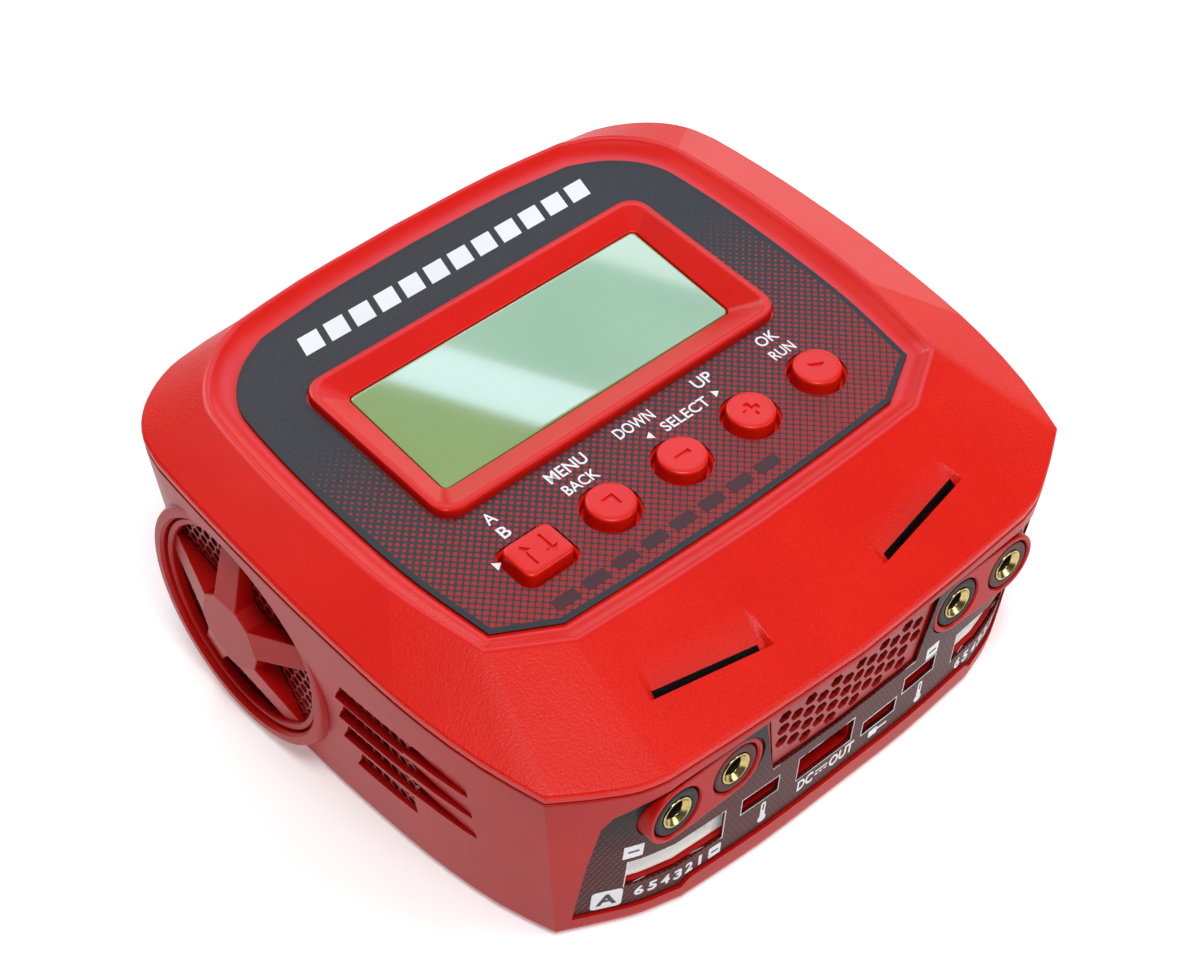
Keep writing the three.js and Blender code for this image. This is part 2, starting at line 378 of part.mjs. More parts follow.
// ------------------------------------------------------------------- vent meshes
function hexPlate(outline, thick, matrix, inside, pitch, r) {
  const holes = [];
  for (let j = -8; j <= 8; j++) for (let i = -8; i <= 8; i++) {
    const u = (i + (j & 1 ? 0.5 : 0)) * pitch, v = j * pitch * 0.866;
    if (inside(u, v)) holes.push(circle(u, v, r, 6, Math.PI / 6).reverse());
  }
  return plate(outline, thick, matrix, holes);
}
put('front_mesh', hexPlate([[-19.6, -9.4], [19.6, -9.4], [20.2, 7.8], [-20.2, 7.8]], 1.0,
  new THREE.Matrix4().makeTranslation(0, 0, 29.4).multiply(towardsFront(-59.8)),
  (u, v) => v > -7.2 && v < 5.6 && Math.abs(u) < 16.4 + (v + 7) * 0.18, 5.3, 2.2), RED_DARK);
for (const s of [-1, 1]) {
  const side = s < 0 ? 'left' : 'right';
  put('fan_mesh_' + side, hexPlate(circle(0, 0, FAN_R - 0.3, 36), 1.0,
    new THREE.Matrix4().makeTranslation(0, FAN_Y, FAN_Z).multiply(acrossX(s < 0 ? -63.6 : 62.6)),
    (u, v) => Math.hypot(u, v) < FAN_R - 4.8, 8.4, 3.7), RED_DARK);
  put('louvre_mesh_' + side, hexPlate(inset(LOUVRE, 0.15).map(([u, v]) => [u + 20.8, v - 24.4]), 0.9,
    new THREE.Matrix4().makeTranslation(0, -20.8, 24.4).multiply(acrossX(s < 0 ? -62.2 : 61.3)),
    (u, v) => u > -10 && u < (v < -3 ? 3.6 : 7.4) && Math.abs(v) < 9.0, 5.4, 2.3), RED_DARK);
  // wheel-like guard: rim, five arms that fall from a raised flat hub
  const DEEP = 4.2, turn = (k) => Math.PI / 2 + (k * 2 * Math.PI) / 5;
  const arms = [];
  for (let k = 0; k < 5; k++) {
    const c = Math.cos(turn(k)), d = Math.sin(turn(k));
    const q = [[0, 3.0], [7.4, 3.0], [20.6, 2.6], [20.6, -2.6], [7.4, -3.0], [0, -3.0]].reverse();
    arms.push(plate(q.map(([r, w]) => [c * r - d * w, d * r + c * w]), DEEP));
    arms.push(plate([[0, 0], ...[turn(k) + 0.3852, turn(k + 1) - 0.3852].map((t) => [7.985 * Math.cos(t), 7.985 * Math.sin(t)])], DEEP));
  }
  const five = (apothem) => Array.from({ length: 5 }, (_, k) => [apothem / Math.cos(Math.PI / 5) * Math.cos(turn(k) + Math.PI / 5), apothem / Math.cos(Math.PI / 5) * Math.sin(turn(k) + Math.PI / 5)]);
  let guard = union(arms).intersect(loft([at(five(7.6), 0), at(five(21.9), 3.4), at(five(21.9), DEEP)]));
  guard = guard.add(plate(circle(0, 0, FAN_R - 0.3, 36), 1.4, new THREE.Matrix4().makeTranslation(0, 0, 2.8), [circle(0, 0, FAN_R - 1.7, 30).reverse()]));
  guard = toGeometry(guard);
  guard.applyMatrix4(new THREE.Matrix4().makeTranslation(0, FAN_Y, FAN_Z).multiply(acrossX(-DOME)));
  guard = toSolid(guard);
  put('fan_guard_' + side, s < 0 ? guard : guard.mirror([1, 0, 0]), RED_BASE);
}
// ------------------------------------------------------------------- fan
{
  const x0 = -57.0, x1 = -47.0;
  const fm = (x) => new THREE.Matrix4().makeTranslation(0, FAN_Y, FAN_Z).multiply(acrossX(x));
  let frame = plate(roundRect(-20, 20, -20, 20, 2.5, 3), x1 - x0, fm(x0), [circle(0, 0, 18.8, 32).reverse()]);
  // stator plate on three struts, on the inner side
  frame = frame.add(plate(circle(0, 0, 9, 20), 1.4, fm(x1 - 1.4)));
  for (let k = 0; k < 3; k++) {
    const a = 0.4 + (k * 2 * Math.PI) / 3, c = Math.cos(a), d = Math.sin(a);
    frame = frame.add(plate([[c * 8 - d * 1.1, d * 8 + c * 1.1], [c * 8 + d * 1.1, d * 8 - c * 1.1], [c * 19.6 + d * 1.1, d * 19.6 - c * 1.1], [c * 19.6 - d * 1.1, d * 19.6 + c * 1.1]].reverse(), 1.4, fm(x1 - 1.4)));
  }
  put('fan_frame', frame, FANPL);
  let rotor = rod('x', 8.8, x0 + 0.8, x1 - 2.2, FAN_Y, FAN_Z, 24);
  for (let k = 0; k < 7; k++) {
    const a = (k * 2 * Math.PI) / 7;
    const g = new THREE.BoxGeometry(0.9, 6.4, 10.2);
    g.rotateZ(0.75);
    g.translate(0, 0, 8.8 + 4.3);
    g.rotateX(a);
    g.translate(x0 + 4.2, FAN_Y, FAN_Z);
    rotor = rotor.add(toSolid(g));
  }
  put('fan_rotor', rotor, FANPL);
}
// ------------------------------------------------------------------- output sockets
let n = 0;
for (const [x, pos] of [[-SOCK_X[0], 0], [-SOCK_X[1], 1], [SOCK_X[1], 0], [SOCK_X[0], 1]]) {
  n += 1;
  const ring = rod('y', 4.85, SOCK_FACE - 0.1, -56, x, SOCK_Z, 20).subtract(rod('y', 3.3, -80, -50, x, SOCK_Z, 16));
  put('socket_ring_' + n, ring, pos ? INS_RED : INS_BLACK);
  const tube = rod('y', 3.0, SOCK_FACE - 0.05, -50, x, SOCK_Z, 16).subtract(rod('y', 2.15, -80, -52.5, x, SOCK_Z, 14))
    .subtract(rod('y', 2.75, SOCK_FACE - 1, SOCK_FACE + 0.6, x, SOCK_Z, 14, 2.0));
  put('socket_' + n, tube, BRASS);
}
// ------------------------------------------------------------------- small ports
BALX.forEach((x, i) => {
  const z0 = BAL_Z - BAL_H / 2 + 0.4, z1 = BAL_Z + BAL_H / 2 - 0.4;
  let h = box(x - 8.9, x + 8.9, -61.2, -51.0, z0, z1).subtract(box(x - 8.3, x + 8.3, -70, -53.4, z0 + 0.7, z1 - 0.7));
  for (let k = 0; k < 7; k++) h = h.add(box(x - 7.5 + k * 2.5 - 0.32, x - 7.5 + k * 2.5 + 0.32, -59.4, -53.0, BAL_Z - 0.3, BAL_Z + 0.35));
  put(i ? 'balance_port_b' : 'balance_port_a', h, NYLON);
});
put('usb_port', box(USB[0] - 6.1, USB[0] + 6.1, -61.6, -49, USB[1] - 2.5, USB[1] + 2.5)
  .subtract(box(USB[0] - 5.7, USB[0] + 5.7, -70, -51, USB[1] - 2.1, USB[1] + 2.1))
  .add(box(USB[0] - 5.0, USB[0] + 5.0, -60.4, -50, USB[1] + 0.1, USB[1] + 1.4)), STEEL);
put('micro_port', box(MICRO[0] - 3.8, MICRO[0] + 3.8, -61.6, -55, MICRO[1] - 1.3, MICRO[1] + 1.3)
  .subtract(box(MICRO[0] - 3.4, MICRO[0] + 3.4, -70, -56, MICRO[1] - 0.95, MICRO[1] + 0.95))
  .add(box(MICRO[0] - 2.2, MICRO[0] + 2.2, -60.6, -55.5, MICRO[1] - 0.25, MICRO[1] + 0.35)), STEEL);
TEMP.forEach(([x, z], i) => {
  let h = box(x - 3.6, x + 3.6, -61.4, -54, z - 1.6, z + 1.6).subtract(box(x - 3.0, x + 3.0, -70, -55.4, z - 1.0, z + 1.0));
  for (const dx of [-1.25, 1.25]) h = h.add(box(x + dx - 0.3, x + dx + 0.3, -60, -55, z - 0.3, z + 0.3));
  put(i ? 'temp_port_b' : 'temp_port_a', h, INS_BLACK);
});
{
  const [x, z, w, h] = AC;
  let inlet = box(x - w / 2 + 0.3, x + w / 2 - 0.3, 42, 54.8, z - h / 2 + 0.3, z + h / 2 - 0.3)
    .subtract(plate([[-12, -8], [12, -8], [12, 3], [7, 8], [-7, 8], [-12, 3]].map(([u, v]) => [u + x, v + z]), 14, new THREE.Matrix4().makeTranslation(0, 58, 0).multiply(new THREE.Matrix4().makeRotationX(Math.PI / 2))));
  for (const [u, v] of [[-7, -2], [7, -2], [0, 3]]) inlet = inlet.add(box(x + u - 1, x + u + 1, 43, 52.5, z + v - 2, z + v + 2));
  put('mains_inlet', inlet, BLACK);
  const [dx, dz, dw, dh] = DC;
  let dc = box(dx - dw / 2 + 0.3, dx + dw / 2 - 0.3, 42, 54.4, dz - dh / 2 + 0.3, dz + dh / 2 - 0.3)
    .subtract(box(dx - dw / 2 + 1.3, dx + dw / 2 - 1.3, 46, 60, dz - dh / 2 + 1.3, dz + dh / 2 - 1.3));
  for (const u of [-3.6, 3.6]) dc = dc.add(rod('y', 1.9, 45, 49.2, dx + u, dz, 14));
  put('battery_inlet', dc, TAPE);
}
// ------------------------------------------------------------------- boards and power parts
put('main_board', box(-46.5, 55, -49, 46, 5.4, 7.0).subtract(box(-60, -36.6, -60, -30, 0, 20)).subtract(box(38.5, 60, 34, 60, 0, 20))
  .subtract(box(44, 60, -60, -33, 0, 20))
  .subtract(box(-60, -36, 30, 60, 0, 20)), PCB);
put('transformer', box(6, 32, -6, 16, 7.4, 27), TAPE);
put('heat_sink', union([box(-20, -16.6, -34, 12, 7.4, 30), ...[0, 1, 2, 3, 4].map((k) => box(-17, -8, -33 + k * 9, -31.4 + k * 9, 7.4, 30))]), ALU);
put('capacitor_1', rod('z', 8, 7.4, 34, 44, 0, 24), CAPB);
put('capacitor_2', rod('z', 5, 7.4, 24, 44, -18, 20), CAPB);
put('inductor', rod('z', 8.5, 7.4, 17, -36, -20, 24).subtract(rod('z', 3.6, 0, 30, -36, -20, 16)), BRASS);
// ------------------------------------------------------------------- feet and screws
FEET_AT.forEach(([x, y], i) => put('foot_' + (i + 1), rod('z', 6.0, -FOOT, 0.5, x, y, 16), RUBBER));
POSTS.forEach(([x, y, z], i) => {
  const scr = rod('z', 2.8, 0.6, 2.0, x, y, 16).add(rod('z', 1.45, 1.9, z - 2, x, y, 10))
    .subtract(box(x - 1.8, x + 1.8, y - 0.35, y + 0.35, 0, 1.2)).subtract(box(x - 0.35, x + 0.35, y - 1.8, y + 1.8, 0, 1.2));
  put('case_screw_' + (i + 1), scr, STEEL);
});

export default group;
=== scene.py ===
import math

import bmesh
import bpy
import numpy as np
from mathutils import Matrix, Vector


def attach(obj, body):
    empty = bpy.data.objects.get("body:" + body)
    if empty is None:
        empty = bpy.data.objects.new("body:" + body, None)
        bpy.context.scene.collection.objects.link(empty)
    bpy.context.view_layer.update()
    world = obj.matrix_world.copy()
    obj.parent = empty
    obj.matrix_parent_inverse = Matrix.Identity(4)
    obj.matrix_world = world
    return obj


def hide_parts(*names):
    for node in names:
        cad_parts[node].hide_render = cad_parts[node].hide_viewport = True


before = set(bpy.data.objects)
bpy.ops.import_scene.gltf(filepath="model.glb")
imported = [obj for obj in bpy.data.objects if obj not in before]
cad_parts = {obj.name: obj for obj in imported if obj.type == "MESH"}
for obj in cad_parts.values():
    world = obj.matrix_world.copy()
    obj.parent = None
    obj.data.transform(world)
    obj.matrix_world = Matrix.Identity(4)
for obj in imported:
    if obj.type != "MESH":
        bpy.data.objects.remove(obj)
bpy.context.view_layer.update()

# The numbers below are millimetres in the modelling datum of the part's source.
# mm() turns them into the row frame, in metres.
SHIFT = np.array([0.0, 6.15, 1.0])
CASE = "case"
PANEL_Z, TILT, CREST_UP, DISH = 53.08, 0.0708, 1.7, 0.65
LIP, SEAM, TOP_IN = 2.0, 0.42, 0.2
CHANNEL_W, CHANNEL_D = 10.4, 8.0
BTN_Y, BTN_R, BTN_UP = -23.8, 4.5, 1.7
BTN_X = [-32.4, -16.1, 0.4, 16.9, 33.4]
SOCK_Z, SOCK_X, SOCK_FACE, BOSS_R = 29.6, [40.1, 26.9], -65.8, 6.2
FAN_Y, FAN_Z, FAN_R, FAN_FACE, RING_R = 18.2, 24.8, 21.8, 66.6, 24.2
BAL_X, BAL_Z, BAL_W, BAL_H = (-37.3, 39.2), 14.2, 18.4, 7.2
USB, MICRO, TEMP = (-4.3, 15.2, 12.8, 5.9), (9.6, 12.4, 8.0, 3.2), [(-19.8, 15.7), (19.6, 15.9)]
TEMP_W, TEMP_H, CUT_GAP, PANEL_IN = 7.8, 3.6, 0.3, 1.35
BALANCE = [(x, BAL_Z, BAL_W, BAL_H) for x in BAL_X]
SMALL = [USB, MICRO] + [(x, z, TEMP_W, TEMP_H) for x, z in TEMP]


def mm(points):
    return (np.asarray(points, float) + SHIFT) * 0.001


# ------------------------------------------------------------------ outlines
def spline(knots, count):
    """count points along a centripetal curve through the knots, evenly spaced, without its end."""
    k = [np.array(p, float) for p in knots]
    if len(k) == 2:
        return [k[0] + (k[1] - k[0]) * i / count for i in range(count)]
    p = [2 * k[0] - k[1]] + k + [2 * k[-1] - k[-2]]
    fine = []
    for i in range(1, len(p) - 2):
        a, b, c, d = p[i - 1], p[i], p[i + 1], p[i + 2]
        t0, t1, t2 = (math.sqrt(np.linalg.norm(v)) for v in (b - a, c - b, d - c))
        m1 = ((b - a) / t0 - (c - a) / (t0 + t1) + (c - b) / t1) * t1
        m2 = ((c - b) / t1 - (d - b) / (t1 + t2) + (d - c) / t2) * t1
        for j in range(40):
            t = j / 40
            fine.append((2 * t**3 - 3 * t**2 + 1) * b + (t**3 - 2 * t**2 + t) * m1
                        + (3 * t**2 - 2 * t**3) * c + (t**3 - t**2) * m2)
    fine.append(k[-1])
    fine = np.array(fine)
    s = np.concatenate([[0], np.cumsum(np.linalg.norm(np.diff(fine, axis=0), axis=1))])
    want = s[-1] * np.arange(count) / count
    return [np.array([np.interp(w, s, fine[:, 0]), np.interp(w, s, fine[:, 1])]) for w in want]


COUNTS = [6, 12, 16, 16, 5]


def outline(half):
    r = []
    for knots, count in zip(half, COUNTS):
        r += spline(knots, count)
    full = r + [np.array(half[-1][-1], float)]
    full += [np.array([-p[0], p[1]]) for p in r[:0:-1]]
    return np.array(full)


LIP_LINE = outline([
    [[0, -68.3], [23.5, -67.35], [42.3, -66.2]],
    [[42.3, -66.2], [47.2, -65.0], [53.4, -61.9], [58.7, -58.7], [60.9, -57.3]],
    [[60.9, -57.3], [64.2, -47.0], [66.9, -32.0], [68.1, -10.0], [68.0, 10.0], [67.3, 26.0], [66.5, 36.0]],
    [[66.5, 36.0], [64.9, 42.2], [61.8, 47.0], [57.0, 51.0], [51.0, 53.8], [43.0, 55.0]],
    [[43.0, 55.0], [24.0, 55.8], [0, 56.0]]])
LABEL_LINE = outline([
    [[0, -38.5], [20, -38.1], [38.5, -37.3]],
    [[38.5, -37.3], [49.5, -31.1]],
    [[49.5, -31.1], [51.7, -14.0], [52.2, 4.0], [51.9, 18.0], [51.2, 28.0]],
    [[51.2, 28.0], [50.2, 34.0], [47.2, 39.0], [42.6, 43.0], [36.5, 46.0]],
    [[36.5, 46.0], [22.0, 47.6], [0, 48.2]]])
CREST_LINE = outline([
    [[0, -42.9], [21, -42.4], [39.9, -41.6]],
    [[39.9, -41.6], [52.9, -33.6]],
    [[52.9, -33.6], [55.9, -15.0], [56.5, 4.0], [56.2, 18.0], [55.4, 29.0]],
    [[55.4, 29.0], [54.2, 36.2], [50.6, 42.2], [45.0, 47.0], [38.0, 50.2]],
    [[38.0, 50.2], [23.0, 51.9], [0, 52.5]]])
FOOT_LINE = outline([
    [[0, -64.5], [18, -64.4], [36.0, -63.1]],
    [[36.0, -63.1], [44.0, -60.7], [50.0, -57.8], [56.8, -54.2]],
    [[56.8, -54.2], [59.9, -44.0], [62.0, -30.0], [63.0, -10.0], [63.0, 10.0], [62.4, 25.0], [61.6, 34.0]],
    [[61.6, 34.0], [60.2, 39.6], [57.4, 43.8], [53.2, 47.6], [47.6, 50.4], [40.0, 51.4]],
    [[40.0, 51.4], [22.0, 52.1], [0, 52.3]]])


def lip_z(y):
    return 43.63 + 0.1722 * (y + 57.19) - 0.000777 * (y + 57.19) ** 2


def panel_z(y):
    return PANEL_Z + TILT * y


def lcd_z(y):
    return 51.45 + 0.13 * y


def inset(line, d):
    a, b = np.roll(line, 1, 0), np.roll(line, -1, 0)
    e1, e2 = line - a, b - line
    e1 /= np.linalg.norm(e1, axis=1)[:, None]
    e2 /= np.linalg.norm(e2, axis=1)[:, None]
    n = np.stack([-(e1[:, 1] + e2[:, 1]), e1[:, 0] + e2[:, 0]], 1)
    length = np.linalg.norm(n, axis=1)
    c = np.maximum(0.5, np.abs(e1[:, 0] * n[:, 1] - e1[:, 1] * n[:, 0]) / length)
    return line + n / length[:, None] * (d / c)[:, None]


def at(line, z):
    line = np.asarray(line, float)
    heights = np.array([z(p[1]) for p in line]) if callable(z) else np.full(len(line), float(z))
    return np.column_stack([line, heights])


SQUARE = [(-1, -1), (1, -1), (1, 1), (-1, 1)]


def circle(x, y, r, n=48, a0=0.0):
    a = a0 + np.arange(n) / n * 2 * math.pi
    return np.column_stack([x + r * np.cos(a), y + r * np.sin(a)])


def round_rect(x0, x1, y0, y1, r, n=8):
    p = []
    for cx, cy, a0 in ((x1 - r, y1 - r, 0), (x0 + r, y1 - r, 90), (x0 + r, y0 + r, 180),
                       (x1 - r, y0 + r, 270)):
        for i in range(n + 1):
            a = math.radians(a0 + 90 * i / n)
            p.append((cx + r * math.cos(a), cy + r * math.sin(a)))
    return np.array(p)


def stadium(x0, x1, z, r, n=20):
    p = [(x1 + r * math.cos(a), z + r * math.sin(a)) for a in np.linspace(-math.pi / 2, math.pi / 2, n)]
    p += [(x0 + r * math.cos(a), z + r * math.sin(a)) for a in np.linspace(math.pi / 2, 3 * math.pi / 2, n)]
    return np.array(p)


# ------------------------------------------------------------------ meshes
def mesh_object(name, points, faces):
    me = bpy.data.meshes.new(name)
    me.from_pydata([tuple(p) for p in mm(points)], [], faces)
    me.update()
    ob = bpy.data.objects.new(name, me)
    bpy.context.scene.collection.objects.link(ob)
    return ob


def loft(name, rings, closed=False):
    """Skin through rings of equal length, each anticlockwise seen from where the skin leads.

    Its two ends are capped unless it closes on itself.
    """
    n = len(rings[0])
    faces = []
    last = len(rings) if closed else len(rings) - 1
    for k in range(last):
        for i in range(n):
            j = (i + 1) % n
            a, c = k * n, ((k + 1) % len(rings)) * n
            faces.append((a + i, a + j, c + j, c + i))
    if not closed:
        faces.append(tuple(range(n - 1, -1, -1)))
        faces.append(tuple((len(rings) - 1) * n + i for i in range(n)))
    return mesh_object(name, np.concatenate(rings), faces)


def rounded(rings, radii, steps=4):
    """The same rings, with the corner at ring k rounded off by radii[k]."""
    out = []
    for k, r in enumerate(rings):
        if not radii[k]:
            out.append(r)
            continue
        before, after = rings[k - 1] - r, rings[(k + 1) % len(rings)] - r
        la, lb = np.linalg.norm(before, axis=1)[:, None], np.linalg.norm(after, axis=1)[:, None]
        p, q = r + before / la * np.minimum(radii[k], 0.45 * la), r + after / lb * np.minimum(radii[k],
                0.45 * lb)
        for i in range(steps + 1):
            t = i / steps
            out.append((1 - t) ** 2 * p + 2 * t * (1 - t) * r + t * t * q)
    return out


PANEL = Matrix.Translation((0, 0, PANEL_Z)) @ Matrix.Rotation(math.atan(TILT), 4, "X")


def on_panel(points, z=0.0):
    """Points (x, y) of the tilted panel's own plane, z off its surface."""
    return np.array([PANEL @ Vector((p[0], p[1], z if len(p) < 3 else p[2] + z)) for p in points])


def front(points, y):
    """Outline (x, z), anticlockwise seen from the front, at depth y."""
    return np.array([(p[0], y, p[1]) for p in points])


def side(points, x):
    """Outline (y, z) at x."""
    return np.array([(x, p[0], p[1]) for p in points])


def prism(name, rings, closed=False):
    """A loft whose faces are turned outward whatever way its rings run."""
    ob = loft(name, rings, closed)
    fix_normals(ob)
    return ob


def fix_normals(ob):
    bm = bmesh.new()
    bm.from_mesh(ob.data)
    bmesh.ops.recalc_face_normals(bm, faces=bm.faces)
    bm.to_mesh(ob.data)
    bm.free()


def block(name, x0, x1, y0, y1, z0, z1):
    q = [(x0, y0), (x1, y0), (x1, y1), (x0, y1)]
    return prism(name, [at(q, z0), at(q, z1)])


def drum(name, axis, profile, u, v, n=48, closed=False):
    """A turned solid round the centre (u, v): profile is (radius, place along the axis)."""
    rings = []
    for r, a in profile:
        c, along = circle(u, v, r, n), np.full(n, float(a))
        columns = {"x": (along, c[:, 0], c[:, 1]), "y": (c[:, 0], along, c[:, 1]),
                   "z": (c[:, 0], c[:, 1], along)}
        rings.append(np.column_stack(columns[axis]))
    return prism(name, rings, closed)


def through(points, y0, y1, name="c"):
    """A front outline drawn out from one depth to another."""
    return prism(name, [front(points, y) for y in (y0, y1)])


def through_panel(points, z0, z1):
    """An outline on the tilted panel drawn out square to it."""
    return prism("c", [on_panel(points, z) for z in (z0, z1)])


def slab_faces(nx, ny):
    """Faces of a closed slab between two grids of nx by ny cells, the lower grid's points first."""
    def k(w, i, j):
        return (w * (ny + 1) + j) * (nx + 1) + i

    faces = []
    for j in range(ny):
        for i in range(nx):
            faces.append((k(0, i, j), k(0, i, j + 1), k(0, i + 1, j + 1), k(0, i + 1, j)))
            faces.append((k(1, i, j), k(1, i + 1, j), k(1, i + 1, j + 1), k(1, i, j + 1)))
    edge = [(i, 0) for i in range(nx)] + [(nx, j) for j in range(ny)]
    edge += [(i, ny) for i in range(nx, 0, -1)] + [(0, j) for j in range(ny, 0, -1)]
    faces += [(k(0, *a), k(0, *b), k(1, *b), k(1, *a)) for a, b in zip(edge, edge[1:] + edge[:1])]
    return faces


def boolean(target, cutters, op="DIFFERENCE"):
    for cutter in cutters if isinstance(cutters, (list, tuple)) else [cutters]:
        m = target.modifiers.new("cut", "BOOLEAN")
        m.operation, m.solver, m.object = op, "MANIFOLD", cutter
        deps = bpy.context.evaluated_depsgraph_get()
        me = bpy.data.meshes.new_from_object(target.evaluated_get(deps))
        if not len(me.polygons):
            m.solver = "EXACT"
            deps = bpy.context.evaluated_depsgraph_get()
            me = bpy.data.meshes.new_from_object(target.evaluated_get(deps))
        old = target.data
        target.modifiers.remove(m)
        target.data = me
        bpy.data.meshes.remove(old)
        drop(cutter)
    return target


def drop(ob):
    me = ob.data
    bpy.data.objects.remove(ob)
    if me.users == 0:
        bpy.data.meshes.remove(me)


def joined(name, obs):
    """One object from several, without merging their solids."""
    bm = bmesh.new()
    for ob in obs:
        bm.from_mesh(ob.data)
        drop(ob)
    me = bpy.data.meshes.new(name)
    bm.to_mesh(me)
    bm.free()
    ob = bpy.data.objects.new(name, me)
    bpy.context.scene.collection.objects.link(ob)
    return ob


def soften(ob, where, width, segments=2, angle=25):
    """Rounds the sharp edges whose middle, in datum millimetres, passes where()."""
    bm = bmesh.new()
    bm.from_mesh(ob.data)
    bmesh.ops.remove_doubles(bm, verts=bm.verts, dist=2e-6)
    bmesh.ops.dissolve_degenerate(bm, edges=bm.edges, dist=1e-6)
    edges = []
    for e in bm.edges:
        if len(e.link_faces) == 2 and e.calc_face_angle(0) > math.radians(angle):
            p = np.array((e.verts[0].co + e.verts[1].co) / 2) * 1000 - SHIFT
            if where(p):
                edges.append(e)
    bmesh.ops.bevel(bm, geom=edges, offset=width * 0.001, segments=segments, profile=0.5, affect="EDGES",
                    clamp_overlap=True)
    bm.to_mesh(ob.data)
    bm.free()


def finish_piece(ob, name, material, replaced=(), body=CASE, sharp=32, weighted=True):
    ob.name = ob.data.name = name
    me = ob.data
    me.materials.clear()
    for m in material if isinstance(material, (list, tuple)) else [material]:
        me.materials.append(m)
    for p in me.polygons:
        p.use_smooth = True
    me.set_sharp_from_angle(angle=math.radians(sharp))
    if weighted:
        w = ob.modifiers.new("normals", "WEIGHTED_NORMAL")
        w.keep_sharp = True
        w.weight = 80
    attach(ob, body)
    if replaced:
        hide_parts(*replaced)
    return ob


# ------------------------------------------------------------------ materials
def new_material(name):
    m = bpy.data.materials.new(name)
    m.use_nodes = True
    nt = m.node_tree
    b = nt.nodes["Principled BSDF"]
    return m, nt, b


def link(nt, a, b):
    nt.links.new(a, b)


def node(nt, kind, **props):
    n = nt.nodes.new(kind)
    for k, v in props.items():
        if k == "inputs":
            for i, val in v.items():
                n.inputs[i].default_value = val
        else:
            setattr(n, k, v)
    return n


def maths(nt, op, a, b=None, clamp=False):
    n = node(nt, "ShaderNodeMath", operation=op, use_clamp=clamp)
    for i, v in enumerate((a, b)):
        if v is None:
            continue
        if isinstance(v, (int, float)):
            n.inputs[i].default_value = v
        else:
            link(nt, v, n.inputs[i])
    return n.outputs[0]


def ramp(nt, fac, stops, interpolation="LINEAR"):
    n = node(nt, "ShaderNodeValToRGB")
    n.color_ramp.interpolation = interpolation
    els = n.color_ramp.elements
    while len(els) < len(stops):
        els.new(0.5)
    for e, (pos, col) in zip(els, stops):
        e.position = pos
        e.color = (*col, 1) if len(col) == 3 else col
    link(nt, fac, n.inputs[0])
    return n.outputs[0]


def mix_colour(nt, fac, a, b):
    n = node(nt, "ShaderNodeMix", data_type="RGBA")
    for i, v in ((0, fac), (6, a), (7, b)):
        if isinstance(v, (int, float)):
            n.inputs[i].default_value = v
        elif isinstance(v, tuple):
            n.inputs[i].default_value = (*v, 1)
        else:
            link(nt, v, n.inputs[i])
    return n.outputs[2]


def coordinates(nt):
    return node(nt, "ShaderNodeTexCoord").outputs["Object"]


def srgb(r, g, b):
    return tuple((c / 255 / 12.92) if c / 255 <= 0.04045 else ((c / 255 + 0.055) / 1.055) ** 2.4
                 for c in (r, g, b))


def noise(nt, scale, detail, **more):
    n = node(nt, "ShaderNodeTexNoise", inputs={"Scale": scale, "Detail": detail, **more})
    link(nt, coordinates(nt), n.inputs["Vector"])
    return n.outputs["Fac"]


def spread(nt, fac, amount, low):
    """fac times amount, plus low."""
    return maths(nt, "ADD", maths(nt, "MULTIPLY", fac, amount), low)


def bumped(nt, b, height, strength, distance):
    bp = node(nt, "ShaderNodeBump", inputs={"Strength": strength, "Distance": distance})
    link(nt, height, bp.inputs["Height"])
    link(nt, bp.outputs[0], b.inputs["Normal"])


def multiplied(nt, a, b):
    n = node(nt, "ShaderNodeMix", data_type="RGBA", blend_type="MULTIPLY")
    n.inputs[0].default_value = 1
    link(nt, a, n.inputs[6])
    link(nt, b, n.inputs[7])
    return n.outputs[2]


def moulded(name, colour, deep, rough, grain, bump, grain_scale=2600, spec=0.5, painted_glow=0.0):
    """Moulded plastic: a pebbled skin, a faint drift of colour and uneven gloss, and where asked a painted
    glow that brightens it as light would.
    """
    m, nt, b = new_material(name)
    drift = noise(nt, 60, 3.0)
    pebble = noise(nt, grain_scale, 2.0, Roughness=0.55)
    base = ramp(nt, drift, [(0.3, srgb(*deep)), (0.7, srgb(*colour))])
    speck = ramp(nt, pebble, [(0.3, (1 - grain,) * 3), (0.7, (1.0, 1.0, 1.0))])
    link(nt, multiplied(nt, base, speck), b.inputs["Base Color"])
    link(nt, spread(nt, pebble, 0.12, rough - 0.06), b.inputs["Roughness"])
    bumped(nt, b, pebble, bump, 0.00014)
    b.inputs["Specular IOR Level"].default_value = spec
    # painted light: a faint white emission lifts the part as if it were lit, though it is no lamp
    if painted_glow:
        b.inputs["Emission Color"].default_value = (1, 1, 0.98, 1)
        b.inputs["Emission Strength"].default_value = painted_glow
    return m


def metal(name, colour, dark, rough, scale=900):
    m, nt, b = new_material(name)
    n = noise(nt, scale, 3.0)
    link(nt, ramp(nt, n, [(0.3, srgb(*dark)), (0.65, srgb(*colour))]), b.inputs["Base Color"])
    link(nt, spread(nt, n, 0.16, rough - 0.08), b.inputs["Roughness"])
    bumped(nt, b, n, 0.15, 0.00003)
    b.inputs["Metallic"].default_value = 1.0
    return m


